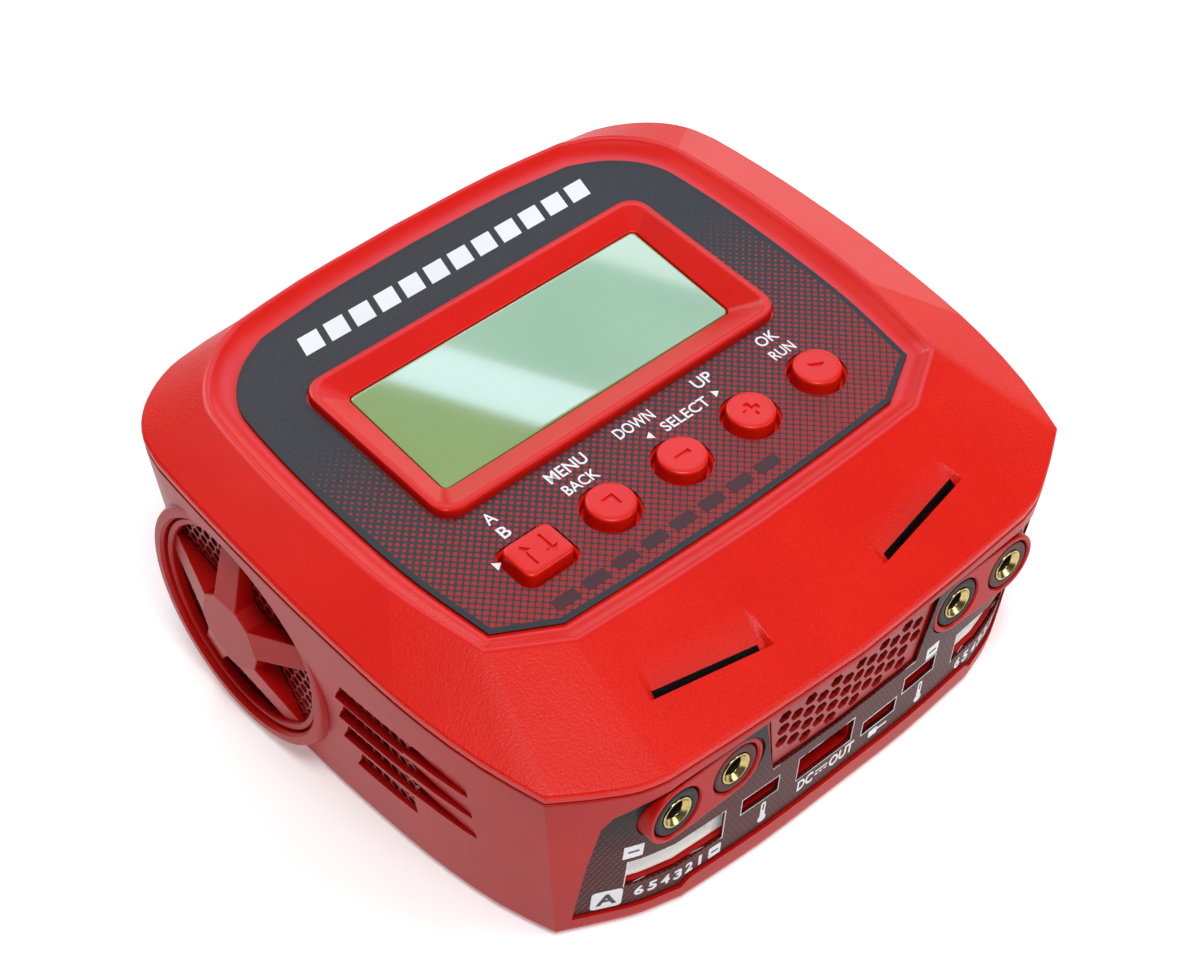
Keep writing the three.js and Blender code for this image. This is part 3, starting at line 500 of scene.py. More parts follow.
M = {}
M["cover"] = moulded("red_textured", (232, 26, 3), (224, 20, 2), 0.42, 0.12, 0.6, 2300, spec=0.26)
M["band"] = moulded("red_smooth", (226, 24, 8), (218, 18, 5), 0.34, 0.02, 0.05, 2600, spec=0.4)
M["button"] = moulded("red_button", (232, 30, 8), (224, 22, 4), 0.36, 0.03, 0.10, 2600, spec=0.4)
M["base"] = moulded("red_satin", (184, 14, 8), (172, 11, 6), 0.36, 0.03, 0.12, 2800, spec=0.22)
M["mesh"] = moulded("red_mesh", (170, 28, 24), (156, 22, 20), 0.40, 0.03, 0.10, 2800, spec=0.6)
M["black"] = moulded("black_moulding", (34, 34, 36), (26, 26, 28), 0.45, 0.10, 0.25, 2400)
# near-black: the real colour of the dark temp port housings, and painted shade on slot walls and socket
# bores that are only dark from shade
M["dark_hole"] = moulded("black_housing_and_painted_shade", (20, 14, 14), (14, 10, 10), 0.7, 0.10, 0.1, 1500)
M["ins_black"] = moulded("insulator_black", (30, 34, 35), (24, 27, 28), 0.42, 0.08, 0.2, 2400, spec=0.2)
M["ins_red"] = moulded("insulator_red", (92, 40, 38), (80, 32, 30), 0.42, 0.08, 0.2, 2400, spec=0.2)
# the white nylon glows faintly: painted light that brightens the balance headers where they sit in shade
M["nylon"] = moulded("nylon_white", (250, 250, 248), (244, 244, 240), 0.42, 0.02, 0.1, 2000, painted_glow=0.12)
M["yellow"] = moulded("nylon_yellow", (214, 170, 40), (200, 156, 34), 0.42, 0.04, 0.1, 2000)
M["rubber"] = moulded("foot_rubber", (30, 30, 31), (22, 22, 23), 0.85, 0.2, 0.5, 1800, spec=0.3)
M["white_ink"] = moulded("white_ink", (240, 240, 242), (232, 232, 236), 0.4, 0.02, 0.05, 3000)
M["dark_ink"] = moulded("dark_ink", (70, 12, 10), (60, 10, 8), 0.45, 0.05, 0.05, 3000)
M["black_ink"] = moulded("black_ink", (26, 26, 28), (20, 20, 22), 0.45, 0.05, 0.05, 3000)
M["grey_ink"] = moulded("grey_ink", (120, 118, 120), (108, 106, 108), 0.45, 0.05, 0.05, 3000)
M["board"] = moulded("circuit_board", (30, 92, 56), (22, 78, 46), 0.5, 0.08, 0.1, 900)
M["blue"] = moulded("sleeve_blue", (36, 42, 66), (28, 34, 56), 0.35, 0.05, 0.05, 900)
M["brass"] = metal("brass", (216, 196, 134), (182, 160, 98), 0.24)
M["steel"] = metal("plated_steel", (204, 206, 208), (172, 174, 178), 0.28)
M["aluminium"] = metal("aluminium", (206, 208, 210), (184, 186, 188), 0.35)
M["copper"] = metal("copper_winding", (206, 120, 62), (166, 88, 40), 0.3, 2400)


def halftone():
    """Printed film, charcoal at the back: red dots grow towards the front until black diamonds are left."""
    m, nt, b = new_material("label_halftone")
    sep = node(nt, "ShaderNodeSeparateXYZ")
    link(nt, coordinates(nt), sep.inputs[0])
    k = math.pi / 0.00170
    # two families of waves, crossing at right angles on the diagonals
    waves = []
    for op in ("ADD", "SUBTRACT"):
        diagonal = maths(nt, op, sep.outputs[0], sep.outputs[1])
        waves.append(maths(nt, "COSINE", maths(nt, "MULTIPLY", diagonal, k)))
    lattice = maths(nt, "ABSOLUTE", maths(nt, "MULTIPLY", *waves))
    # how much red at this place, from the back to the front edge
    depth = node(nt, "ShaderNodeMapRange", clamp=True, inputs={1: 0.0285, 2: -0.0315, 3: 0.0, 4: 1.0})
    link(nt, sep.outputs[1], depth.inputs[0])
    levels = ((0.0, 1.02), (0.12, 0.95), (0.45, 0.60), (0.8, 0.32), (1.0, 0.2))
    cut = ramp(nt, depth.outputs[0], [(pos, (v, v, v)) for pos, v in levels])
    over = maths(nt, "SUBTRACT", lattice, cut)
    mask = node(nt, "ShaderNodeMapRange", clamp=True, inputs={1: -0.02, 2: 0.05, 3: 0.0, 4: 1.0})
    link(nt, over, mask.inputs[0])
    film = noise(nt, 2400.0, 2.0)
    dark = ramp(nt, film, [(0.3, srgb(30, 29, 32)), (0.7, srgb(50, 48, 52))])
    red = ramp(nt, film, [(0.3, srgb(150, 18, 10)), (0.7, srgb(168, 24, 14))])
    link(nt, mix_colour(nt, mask.outputs[0], dark, red), b.inputs["Base Color"])
    link(nt, spread(nt, film, 0.16, 0.40), b.inputs["Roughness"])
    bumped(nt, b, film, 0.35, 0.00005)
    b.inputs["Specular IOR Level"].default_value = 0.45
    return m


def carbon():
    """Printed carbon look: dark charcoal with rows of dull red stitches, leaning as a twill does."""
    m, nt, b = new_material("carbon_film")
    sep = node(nt, "ShaderNodeSeparateXYZ")
    link(nt, coordinates(nt), sep.inputs[0])
    cell = 0.00105
    u = maths(nt, "DIVIDE", sep.outputs[0], cell)
    v = maths(nt, "DIVIDE", sep.outputs[2], cell)
    row = maths(nt, "FLOOR", v)
    shifted = maths(nt, "ADD", u, maths(nt, "MULTIPLY", row, 0.5))
    fv = maths(nt, "FRACT", v)
    fu = maths(nt, "FRACT", maths(nt, "ADD", shifted, maths(nt, "MULTIPLY", fv, -0.45)))
    bar_u, bar_v = (
        maths(nt, "SUBTRACT", 0.5, maths(nt, "ABSOLUTE", maths(nt, "SUBTRACT", f, 0.5)))
        for f in (fu, fv))
    near = maths(nt, "MINIMUM", bar_u, maths(nt, "MULTIPLY", bar_v, 1.4))
    mask = node(nt, "ShaderNodeMapRange", clamp=True, inputs={1: 0.08, 2: 0.24, 3: 0.0, 4: 1.0})
    link(nt, near, mask.inputs[0])
    fade = node(nt, "ShaderNodeMapRange", clamp=True, inputs={1: 0.034, 2: 0.022, 3: 0.0, 4: 1.0})
    link(nt, sep.outputs[2], fade.inputs[0])
    col = mix_colour(nt, maths(nt, "MULTIPLY", mask.outputs[0], fade.outputs[0]), srgb(16, 21, 20),
                     srgb(104, 34, 34))
    link(nt, col, b.inputs["Base Color"])
    link(nt, maths(nt, "SUBTRACT", 0.42, maths(nt, "MULTIPLY", mask.outputs[0], 0.10)),
         b.inputs["Roughness"])
    bumped(nt, b, near, 0.2, 0.00004)
    b.inputs["Specular IOR Level"].default_value = 0.16
    return m


def display():
    """Unlit reflective LCD: grey-green, with the faint grid of its cells and a soft drift of tone."""
    m, nt, b = new_material("lcd_green")
    sep = node(nt, "ShaderNodeSeparateXYZ")
    link(nt, coordinates(nt), sep.inputs[0])
    drift = noise(nt, 28.0, 1.0)
    tone = ramp(nt, drift, [(0.3, srgb(138, 164, 108)), (0.7, srgb(150, 176, 118))])
    gx, gy = (
        maths(nt, "ABSOLUTE", maths(nt, "SINE", maths(nt, "MULTIPLY", sep.outputs[axis], math.pi / cell)))
        for axis, cell in ((0, 0.0029), (1, 0.0054)))
    grid = maths(nt, "MINIMUM", gx, gy)
    lines = node(nt, "ShaderNodeMapRange", clamp=True, inputs={1: 0.02, 2: 0.10, 3: 0.97, 4: 1.0})
    link(nt, grid, lines.inputs[0])
    shade = ramp(nt, lines.outputs[0], [(0.97, (0.97, 0.97, 0.97)), (1.0, (1, 1, 1))])
    link(nt, multiplied(nt, tone, shade), b.inputs["Base Color"])
    link(nt, spread(nt, drift, 0.03, 0.03), b.inputs["Roughness"])
    bumped(nt, b, drift, 0.02, 0.00002)
    b.inputs["Specular IOR Level"].default_value = 0.8
    b.inputs["IOR"].default_value = 1.55
    return m


M["halftone"] = halftone()
M["carbon"] = carbon()
M["lcd"] = display()
M["border"] = moulded("label_border", (34, 33, 36), (28, 27, 30), 0.45, 0.1, 0.3, 2400)

# ------------------------------------------------------------------ top cover
def button_outline(i, grow, corner):
    """Outline of button i: the first is a rounded rectangle, the others are circles."""
    x = BTN_X[i]
    if i:
        return circle(x, BTN_Y, BTN_R + grow)
    w, d = CHANNEL_W / 2 + grow, CHANNEL_D / 2 + grow
    return round_rect(x - w, x + w, BTN_Y - d, BTN_Y + d, corner)


cover = loft("top_cover_shell", rounded([
    at(inset(CREST_LINE, 1.2), lambda y: panel_z(y) - DISH - 2.2),
    at(inset(LIP_LINE, 2.3), lambda y: lip_z(y) - 1.6),
    at(inset(LIP_LINE, 2.3), lambda y: lip_z(y) - LIP),
    at(inset(LIP_LINE, 0.25), lambda y: lip_z(y) - LIP),
    at(LIP_LINE, lip_z),
    at(CREST_LINE, lambda y: panel_z(y) + CREST_UP),
    at(LABEL_LINE, lambda y: panel_z(y) - DISH)],
    [0, 0, 0, 0.3, 0.7, 1.1, 0]))
boolean(cover, through_panel(round_rect(-39.2, 39.2, -8.3, 30.4, 3.8), -8, 5))
for i in range(len(BTN_X)):
    well = [on_panel(button_outline(i, g, 2 + g * 0.5), z)
            for g, z in ((0.7, -8), (0.7, -1.0), (0.95, -0.62), (0.95, 4))]
    boolean(cover, prism("c", well))


def front_slope(x, y):
    """Height of the slope in front of the label."""
    k = np.arange(-24, 25)
    lip, top = LIP_LINE[k], CREST_LINE[k]
    order = np.argsort(lip[:, 0])
    ya = np.interp(x, lip[order, 0], lip[order, 1])
    order = np.argsort(top[:, 0])
    yb = np.interp(x, top[order, 0], top[order, 1])
    za, zb = lip_z(ya), panel_z(yb) + CREST_UP
    return za + (y - ya) / (yb - ya) * (zb - za)


def scoop_depth(a, t):
    """a runs along the slot from 0 to 1, t from the soft upper end to the slot."""
    end = min(a, 1 - a) * 23.5 / 1.6
    swell = 1.0 if end >= 1 else (3 * end**2 - 2 * end**3 if end > 0 else 0.0)
    return 2.15 * max(t, 0.0)**2.1 * swell - 0.06


SLOT = [(15.0, -57.75), (15.3, -59.5), (35.7, -55.9), (35.4, -54.15)]
for s in (1, -1):
    low, high, across, along = [], [], 49, 22
    for j in range(along):
        t = -0.02 + 1.02 * j / (along - 1)
        a = np.array([11.9, -50.6]) * (1 - t) + np.array([12.9, -59.9]) * t
        b = np.array([35.6, -48.3]) * (1 - t) + np.array([37.1, -55.8]) * t
        for i in range(across):
            q = a + (b - a) * i / (across - 1)
            low.append((s * q[0], q[1], front_slope(q[0], q[1]) - scoop_depth(i / (across - 1), t)))
            high.append((s * q[0], q[1], 62.0))
    cutter = mesh_object("c", np.array(low + high), slab_faces(across - 1, along - 1))
    fix_normals(cutter)
    boolean(cover, cutter)
    boolean(cover, prism("c", [np.array([(s * x, y, z) for x, y in SLOT]) for z in (36.0, 66.0)]))
soften(cover, lambda p: 11 < abs(p[0]) < 38 and -61.5 < p[1] < -54.0
       and p[2] > front_slope(abs(p[0]), p[1]) - 3.2, 0.45, 3, 35)
bezel_foot, bezel_side = (round_rect(-39.7 + g, 39.7 - g, -8.8 + g, 30.9 - g, 4.2 - g) for g in (0, 0.12))
crest = round_rect(-38.35, 38.35, -7.5, 29.55, 3.4)
glass = round_rect(-33.9, 33.9, -1.6, 24.7, 1.4)
bezel = prism("c", rounded([
    on_panel(bezel_foot, -2.4), on_panel(bezel_side, 1.45), on_panel(crest, 1.5),
    at(glass, lcd_z), at(glass, lambda y: lcd_z(y) - 1.9)],
    [0, 0.45, 0.45, 0.25, 0], 3), closed=True)
boolean(cover, bezel, "UNION")


def sharpen_creases(ob):
    """The front slope's middle crease stays crisp."""
    me = ob.data
    attr = me.attributes.get("sharp_edge") or me.attributes.new("sharp_edge", "BOOLEAN", "EDGE")
    for e in me.edges:
        a, b = (me.vertices[i].co for i in e.vertices)
        if abs(a.x) < 2e-5 and abs(b.x) < 2e-5 and a.y < -0.034 and b.y < -0.034:
            attr.data[e.index].value = True


finish_piece(cover, "top_cover_shell", [M["cover"], M["band"], M["dark_hole"]], ["top_cover"])
sharpen_creases(cover)
for p in cover.data.polygons:
    q = np.array(p.center) * 1000 - SHIFT
    on_band = q[2] > panel_z(q[1]) - 0.7 and p.normal.z > 0.3 and (q[2] < panel_z(q[1]) + 1.62)
    near_bezel = abs(q[0]) < 40 and -9.2 < q[1] < 31.3
    behind = q[1] + 57.75 - 0.176 * (abs(q[0]) - 15.0)
    # painted shade: the walls down inside each scoop's slot get the near-black material in place of the
    # shade there
    slot_wall_painted_shade = 14.9 < abs(q[0]) < 35.8 and -2.4 < behind < 0.15 and abs(p.normal.z) < 0.5
    slot_wall_painted_shade = slot_wall_painted_shade and q[2] < front_slope(abs(q[0]), q[1]) - 0.7
    if near_bezel or on_band:
        p.material_index = 1
    elif slot_wall_painted_shade:
        p.material_index = 2

# ------------------------------------------------------------------ label film
film_edge = inset(LABEL_LINE, 0.3)
label = loft("top_label_film", [
    at(film_edge, lambda y: panel_z(y) - 0.35), at(film_edge, lambda y: panel_z(y) - 0.05),
    at(inset(film_edge, 0.06), panel_z), at(inset(film_edge, 1.15), panel_z)])
boolean(label, through_panel(round_rect(-40.0, 40.0, -9.1, 31.2, 4.5), -3, 3))
for i in range(len(BTN_X)):
    boolean(label, through_panel(button_outline(i, 1.1, 2.6), -3, 3))
finish_piece(label, "top_label_film", [M["halftone"], M["border"]], ["top_label"], sharp=20,
             weighted=False)


def inside(poly, x, y):
    hit = False
    for (x0, y0), (x1, y1) in zip(np.roll(poly, 1, 0), poly):
        if (y1 > y) != (y0 > y) and x < (x0 - x1) * (y - y1) / (y0 - y1) + x1:
            hit = not hit
    return hit


border_line = inset(film_edge, 1.12)
for p in label.data.polygons:
    q = np.array(p.center) * 1000 - SHIFT
    if not inside(border_line, q[0], q[1]):
        p.material_index = 1

# ------------------------------------------------------------------ display
glass_in = round_rect(-33.6, 33.6, -1.3, 24.4, 1.0)
pane = loft("lcd_pane", rounded([
    at(glass_in, lambda y: lcd_z(y) - 1.4), at(glass_in, lambda y: lcd_z(y) - 0.15),
    at(inset(glass_in, 0.4), lambda y: lcd_z(y) - 0.12)], [0, 0.1, 0], 2))
finish_piece(pane, "lcd_pane", M["lcd"], ["lcd_window"])

# ------------------------------------------------------------------ buttons
def cross_mark(arm, half):
    """A plus sign, or a square where arm is no longer than half."""
    quarter = [(half, -arm), (half, -half), (arm, -half)] if arm > half else [(half, -half)]
    return [(c * u - s * v, s * u + c * v) for c, s in ((1, 0), (0, 1), (-1, 0), (0, -1))
            for u, v in quarter]


ARROW = [(-0.3, -2.4), (0.3, -2.4), (0.3, 0.9), (1.3, 0.9), (0, 2.5), (-1.3, 0.9), (-0.3, 0.9)]
MARKS = [
    [[(dx + u * turn, v * turn) for u, v in ARROW] for dx, turn in ((-2.1, 1), (2.1, -1))],
    [cross_mark(1.3, 1.3)],
    [[(-1.7, -0.5), (1.7, -0.5), (1.7, 0.5), (-1.7, 0.5)]],
    [cross_mark(1.7, 0.55)],
    [[(-1.2, -1.6), (1.6, 0), (-1.2, 1.6)]]]
NAMES = ["button_channel", "button_stop", "button_down", "button_up", "button_enter"]
for i, (x, name, marks) in enumerate(zip(BTN_X, NAMES, MARKS)):
    skirt = button_outline(i, 1.5 if i else 1.4, 2)
    cap = loft("c", rounded([
        on_panel(skirt, -4.0), on_panel(skirt, -3.2), on_panel(button_outline(i, 0, 1.5), -3.2),
        on_panel(button_outline(i, -0.05, 1.48), BTN_UP),
        on_panel(button_outline(i, -1.2, 1.02), BTN_UP + 0.06)],
        [0, 0, 0, 0.55, 0], 4))
    for mark in marks:
        pts = [(x + u, BTN_Y + v) for u, v in mark]
        boolean(cap, through_panel(pts, BTN_UP - 0.35, BTN_UP + 2))
    finish_piece(cap, name + "_cap", M["button"], [name], body=name)

# ------------------------------------------------------------------ base shell
def base_top(y):
    return lip_z(y) - LIP - SEAM


def wall_rings(d, z0, grow=0.0):
    """Lowest and highest ring of the wall surface, d below the outer skin."""
    foot, top = inset(FOOT_LINE, d), inset(LIP_LINE, TOP_IN + d)
    low = foot + (top - foot) * (z0 / 45)
    high = foot + (top - foot) * (1 + grow)
    return at(low, z0), at(high, lambda y: base_top(y) + grow * 45)


def wall_solid(d, z0, grow=0.0):
    return prism("w", list(wall_rings(d, z0, grow)))


def boss_line(s, grow=0.0):
    """Outline of the boss round the two sockets on side s."""
    return stadium(min(s * x for x in SOCK_X), max(s * x for x in SOCK_X), SOCK_Z, BOSS_R + grow)


outer_low, outer_high = wall_rings(0, 0)
floor_ring = at(inset(FOOT_LINE, 1.5), 0)
base_rings = [floor_ring, outer_low, outer_high, at(inset(LIP_LINE, TOP_IN + 1.3), base_top)]
base = loft("base_shell_body", rounded(base_rings, [0, 1.3, 0.35, 0]))
# the ring round each fan: how far it is wider than RING_R, and where along x
RING_PROFILE = [(0, 57), (4.2, 57), (2.2, 61.0), (0.9, 63.2), (0.25, 64.9),
                (0, 66.0), (-0.2, 66.4), (-0.6, FAN_FACE), (-2.0, FAN_FACE)]
for s in (-1, 1):
    ring = drum("c", "x", [(RING_R + grow, s * x) for grow, x in RING_PROFILE], FAN_Y, FAN_Z, 96)
    boolean(ring, block("c", -90, 90, -90, 90, 0.02, 49.3), "INTERSECT")
    boolean(base, ring, "UNION")
STICKER_HALF = [(54.6, 3.6), (53.6, 20.0), (52.4, 31.2), (50.8, 34.2), (46.8, 36.2), (40.0, 37.2),
                (22.0, 38.0)]
STICKER_FOOT = [(-36.5, 3.6), (-34.5, 5.0), (34.5, 5.0), (36.5, 3.6)]
STICKER = [(-54.6, 3.6)] + STICKER_FOOT + STICKER_HALF + [(-x, z) for x, z in STICKER_HALF[:0:-1]]
recess = through(STICKER, -45, -75)
boolean(recess, wall_solid(PANEL_IN, -2, 0.2))
boolean(base, recess)
for s in (-1, 1):
    rings = [front(boss_line(s, g), y) for g, y in ((0.15, -56), (0, SOCK_FACE), (-0.9, SOCK_FACE))]
    boolean(base, prism("c", rounded(rings, [0, 0.45, 0], 4)), "UNION")
hollow = wall_solid(2.6 + PANEL_IN * 0.4, 2.4, 0.2)
for s in (-1, 1):
    boolean(hollow, through(boss_line(s), -57, -66))
boolean(base, hollow)
SOCKET_BORE = [(5.15, -50), (5.15, -65.5), (5.45, -65.9), (5.45, -80)]
for s in (-1, 1):
    for x in SOCK_X:
        boolean(base, drum("c", "y", SOCKET_BORE, s * x, SOCK_Z))


def window(x, z, w, h, grow=0.0, y0=-75, y1=-52):
    """A cutter for one opening of the port face, grow wider than it all round."""
    return block("c", x - w / 2 - grow, x + w / 2 + grow, y0, y1, z - h / 2 - grow, z + h / 2 + grow)


for x, z, w, h in BALANCE:
    boolean(base, block("c", x - w / 2, x + w / 2 + 2.2, -75, -52, z - h / 2, z + h / 2))
for place in SMALL:
    boolean(base, window(*place))
boolean(base, through([(-17.3, 21.6), (17.3, 21.6), (19.6, 36.2), (-19.6, 36.2)], -50, -80))
for s in (-1, 1):
    bore = [(FAN_R, s * 50), (FAN_R, s * 66.0), (FAN_R + 0.5, s * 66.7), (FAN_R + 0.5, s * 80)]
    boolean(base, drum("c", "x", bore, FAN_Y, FAN_Z, 96))


def wall_x(y, z):
    """Outer face of the side wall."""
    low = np.array([(-54.2, 56.8), (-44.0, 59.9), (-30.0, 62.0), (-10.0, 63.0), (10.0, 63.0)])
    high = np.array([(-57.3, 60.4), (-47.0, 63.7), (-32.0, 66.4), (-10.0, 67.6), (10.0, 67.5)])
    a, b = np.interp(y, low[:, 0], low[:, 1]), np.interp(y, high[:, 0], high[:, 1])
    return float(a + (b - a) * z / base_top(y))


# side louvres: openings between three slats with sloping tops, fading out towards the front
GROOVES = [(31.0, 35.8), (25.0, 30.2), (19.0, 24.2), (11.0, 18.2)]
SILLS, SLOPES, BACK_ENDS = (0.9, 0.9, 0.9, 2.6), (3.1, 3.1, 3.1, 2.4), (-8.0, -7.6, -7.4, -9.6)
for s in (-1, 1):
    for k, ((z0, z1), rise, fall, back_y) in enumerate(zip(GROOVES, SILLS, SLOPES, BACK_ENDS)):
        # round the opening: x, how far its back end leans forward there, and z
        section = [(58.0, 3.0, z0 + rise), (63.2, 2.5, z0 + rise), (72, 1.0, z0 - fall),
                   (72, 4.6, z1 + 0.2), (58.0, 4.6, z1)]
        ends = [np.array([(s * x, y - lean * w, z) for x, lean, z in section])
                for y, w in ((back_y, 1), (-27.4, 0))]
        boolean(base, prism("c", ends))
        if k == 3:
            continue
        # in front of the opening the band between two slats is shingled, and its step dies away
        rings = []
        for y in (-27.3, -31.5, -35.5, -39.0, -41.6):
            deep = 1.5 * ((y + 42.6) / 15.3)**1.2
            low_x, high_x = wall_x(y, z0), wall_x(y, z1)
            rings.append(np.array([
                (s * (low_x - deep), y, z0 + 0.2 + deep * 0.45), (s * (low_x + 6), y, z0 - 0.9),
                (s * (high_x + 6), y, z1 + 0.1), (s * (high_x + 0.03), y, z1)]))
        boolean(base, prism("c", rings))

# back wall: the two inlets and four upright vent slots
AC, DC = (23, 24, 28.4, 21.4), (-8, 24, 17.4, 9.6)
for x, z, w, h in (AC, DC):
    boolean(base, through(round_rect(x - w / 2, x + w / 2, z - h / 2, z + h / 2, 0.8, 4), 44, 70))
for i in range(4):
    x = -38 + i * 4.6
    boolean(base, through(round_rect(x, x + 2.2, 14, 34, 1.05, 6), 44, 70))
POSTS = [(-49, -38, 36), (49, -38, 36), (-42.8, 40, 46), (42.8, 40, 46)]
for x, y, z in POSTS:
    boolean(base, drum("c", "z", [(3.4, 2.0), (3.4, z)], x, y, 32), "UNION")
    boolean(base, drum("c", "z", [(3.4, -1.0), (3.1, 0.3), (3.1, 2.3), (1.8, 2.3), (1.8, z + 1)], x, y, 32))
FEET_AT = [(-40, -50), (40, -50), (-48, 25), (48, 25)]
for x, y in FEET_AT:
    boolean(base, drum("c", "z", [(6.4, -1), (6.4, 0.8)], x, y))


def port_edge(p):
    """True on the rims of the openings in the port face."""
    balance = abs(abs(p[0]) - 38) < 12 and 9 < p[2] < 20
    middle = abs(p[0]) < 25 and 9 < p[2] < 38
    return p[1] < -59 and abs(p[0]) < 56 and (balance or middle)


soften(base, port_edge, 0.12, 1, 50)
finish_piece(base, "base_shell_body", M["base"], ["base_shell", "port_wall", "inlet_wall"],
             sharp=28)

# ------------------------------------------------------------------ port panel film
film_line = [(x * 0.994, z + (-0.3 if z > 20 else 0.3)) for x, z in STICKER]
film = through(film_line, -45, -75, "port_film")
boolean(film, wall_solid(PANEL_IN - 0.75, -2, 0.2), "INTERSECT")
boolean(film, wall_solid(PANEL_IN - 0.30, -3, 0.3))
for s in (-1, 1):
    boolean(film, through(boss_line(s, CUT_GAP), -40, -80))
for place in BALANCE + SMALL:
    boolean(film, window(*place, CUT_GAP, -75, -40))
boolean(film, through([(-17.6, 21.3), (17.6, 21.3), (21.6, 40), (-21.6, 40)], -40, -80))
finish_piece(film, "port_film", M["carbon"], ["port_label"], sharp=20, weighted=False)


# ------------------------------------------------------------------ vent meshes
def hexes(centres, r, place, a0=0.0):
    """One solid of many hexagonal pins, to be taken away from a plate."""
    return joined("pins", [prism("c", place(circle(u, v, r, 6, a0))) for u, v in centres])


def lattice(pitch, u_range, v_range, rotated):
    """Centres of a hexagonal lattice inside the two ranges."""
    step = pitch * math.sqrt(3) / 2
    out = []
    for i in range(-30, 31):
        for j in range(-30, 31):
            if rotated:
                u, v = i * step, (j + (0.5 if i % 2 else 0)) * pitch
            else:
                u, v = (j + (0.5 if i % 2 else 0)) * pitch, i * step
            if u_range[0] <= u <= u_range[1] and v_range[0] <= v <= v_range[1]:
                out.append((u, v))
    return out


front_line = [(-17.15, 21.75), (17.15, 21.75), (19.4, 36.05), (-19.4, 36.05)]
plate = through(front_line, -50, -75, "front_mesh_plate")
boolean(plate, wall_solid(PANEL_IN - 0.15, -2, 0.2), "INTERSECT")
boolean(plate, wall_solid(PANEL_IN + 1.5, -3, 0.3))
holes = [(u - 1.2, v + 25.5) for u, v in lattice(3.4, (-20, 22), (-4.0, 14), True)]
holes = [(u, v) for u, v in holes if 22.9 < v < 35.6 and abs(u) < 17.0 + (v - 21.6) * 0.157 - 1.6]
boolean(plate, hexes(holes, 1.48, lambda c: [front(c, y) for y in (-50, -80)]))
finish_piece(plate, "front_mesh_plate", M["mesh"], ["front_mesh"], sharp=20, weighted=False)

def side_mesh(plate, centres, y, z, name, x0, x1):
    """Drills a side plate at its lattice centres, about (y, z), and finishes it as a piece."""
    pins = hexes(centres, 1.02, lambda c: [side(c + (y, z), x) for x in (x0, x1)], math.pi / 6)
    boolean(plate, pins)
    finish_piece(plate, name + "_plate", M["mesh"], [name], sharp=20, weighted=False)


def arm(k, points):
    """Points (outward, sideways) of the guard's arm k as (y, z)."""
    a = math.pi / 2 + k * 2 * math.pi / 5
    c, d = math.cos(a), math.sin(a)
    return [(c * r - d * w + FAN_Y, d * r + c * w + FAN_Z) for r, w in points]


def pentagon(flat):
    """A pentagon (y, z) whose sides lie flat away from the fan's axis."""
    return [arm(k + 0.5, [(flat / math.cos(math.pi / 5), 0)])[0] for k in range(5)]


ARM = [(7.4, -3.0), (21.0, -2.6), (21.0, 2.6), (7.4, 3.0)]
# the guard's rim: how far inside FAN_R, and where along x
RIM_PROFILE = [(0.3, 63.9), (0.3, 65.3), (0.6, 65.6), (1.5, 65.6), (1.7, 65.3), (1.7, 63.9)]
for s, tag in ((-1, "left"), (1, "right")):
    disc = drum("fan_mesh", "x", [(FAN_R - 0.3, s * 62.6), (FAN_R - 0.3, s * 63.5)], FAN_Y, FAN_Z, 72)
    holes = [(u, v) for u, v in lattice(2.25, (-22, 22), (-22, 22), False)
             if math.hypot(u, v) < FAN_R - 1.7]
    side_mesh(disc, holes, FAN_Y, FAN_Z, "fan_mesh_" + tag, s * 61, s * 65)
    panel_line = [(-28.6, 13.2), (-11.4, 13.2), (-8.6, 18.0), (-8.6, 35.6), (-28.6, 35.6)]
    panel = prism("louvre_mesh", [side(panel_line, s * x) for x in (0.0, 0.5)])
    for v in panel.data.vertices:
        v.co.x += s * (62.6 + 0.085 * (v.co.z * 1000 - SHIFT[2] - 13.2)) / 1000
    holes = [(u, v) for u, v in lattice(2.25, (-11, 14), (-11, 11.4), False) if abs(v) < 10.4]
    side_mesh(panel, holes, -22.0, 24.4, "louvre_mesh_" + tag, s * 56, s * 72)

    # guard: raised pentagonal hub whose five arms fall to the rim
    outline_points = [q for k in range(5) for q in arm(k, ARM)]
    star = prism("c", [side(outline_points, s * x) for x in (63.55, 70.0)])
    dome = prism("c", [side(pentagon(a), s * x) for a, x in ((7.2, 68.1), (21.9, 64.3), (21.9, 63.7))])
    boolean(star, dome, "INTERSECT")
    soften(star, lambda p: abs(p[0]) > 63.8, 0.18, 2, 20)
    rim = drum("c", "x", [(FAN_R - less, s * x) for less, x in RIM_PROFILE], FAN_Y, FAN_Z, 96)
    boolean(rim, drum("c", "x", [(FAN_R - 1.7, s * 61), (FAN_R - 1.7, s * 70)], FAN_Y, FAN_Z, 96))
    boolean(star, rim, "UNION")
    finish_piece(star, f"fan_guard_{tag}_star", M["base"], ["fan_guard_" + tag], sharp=12)

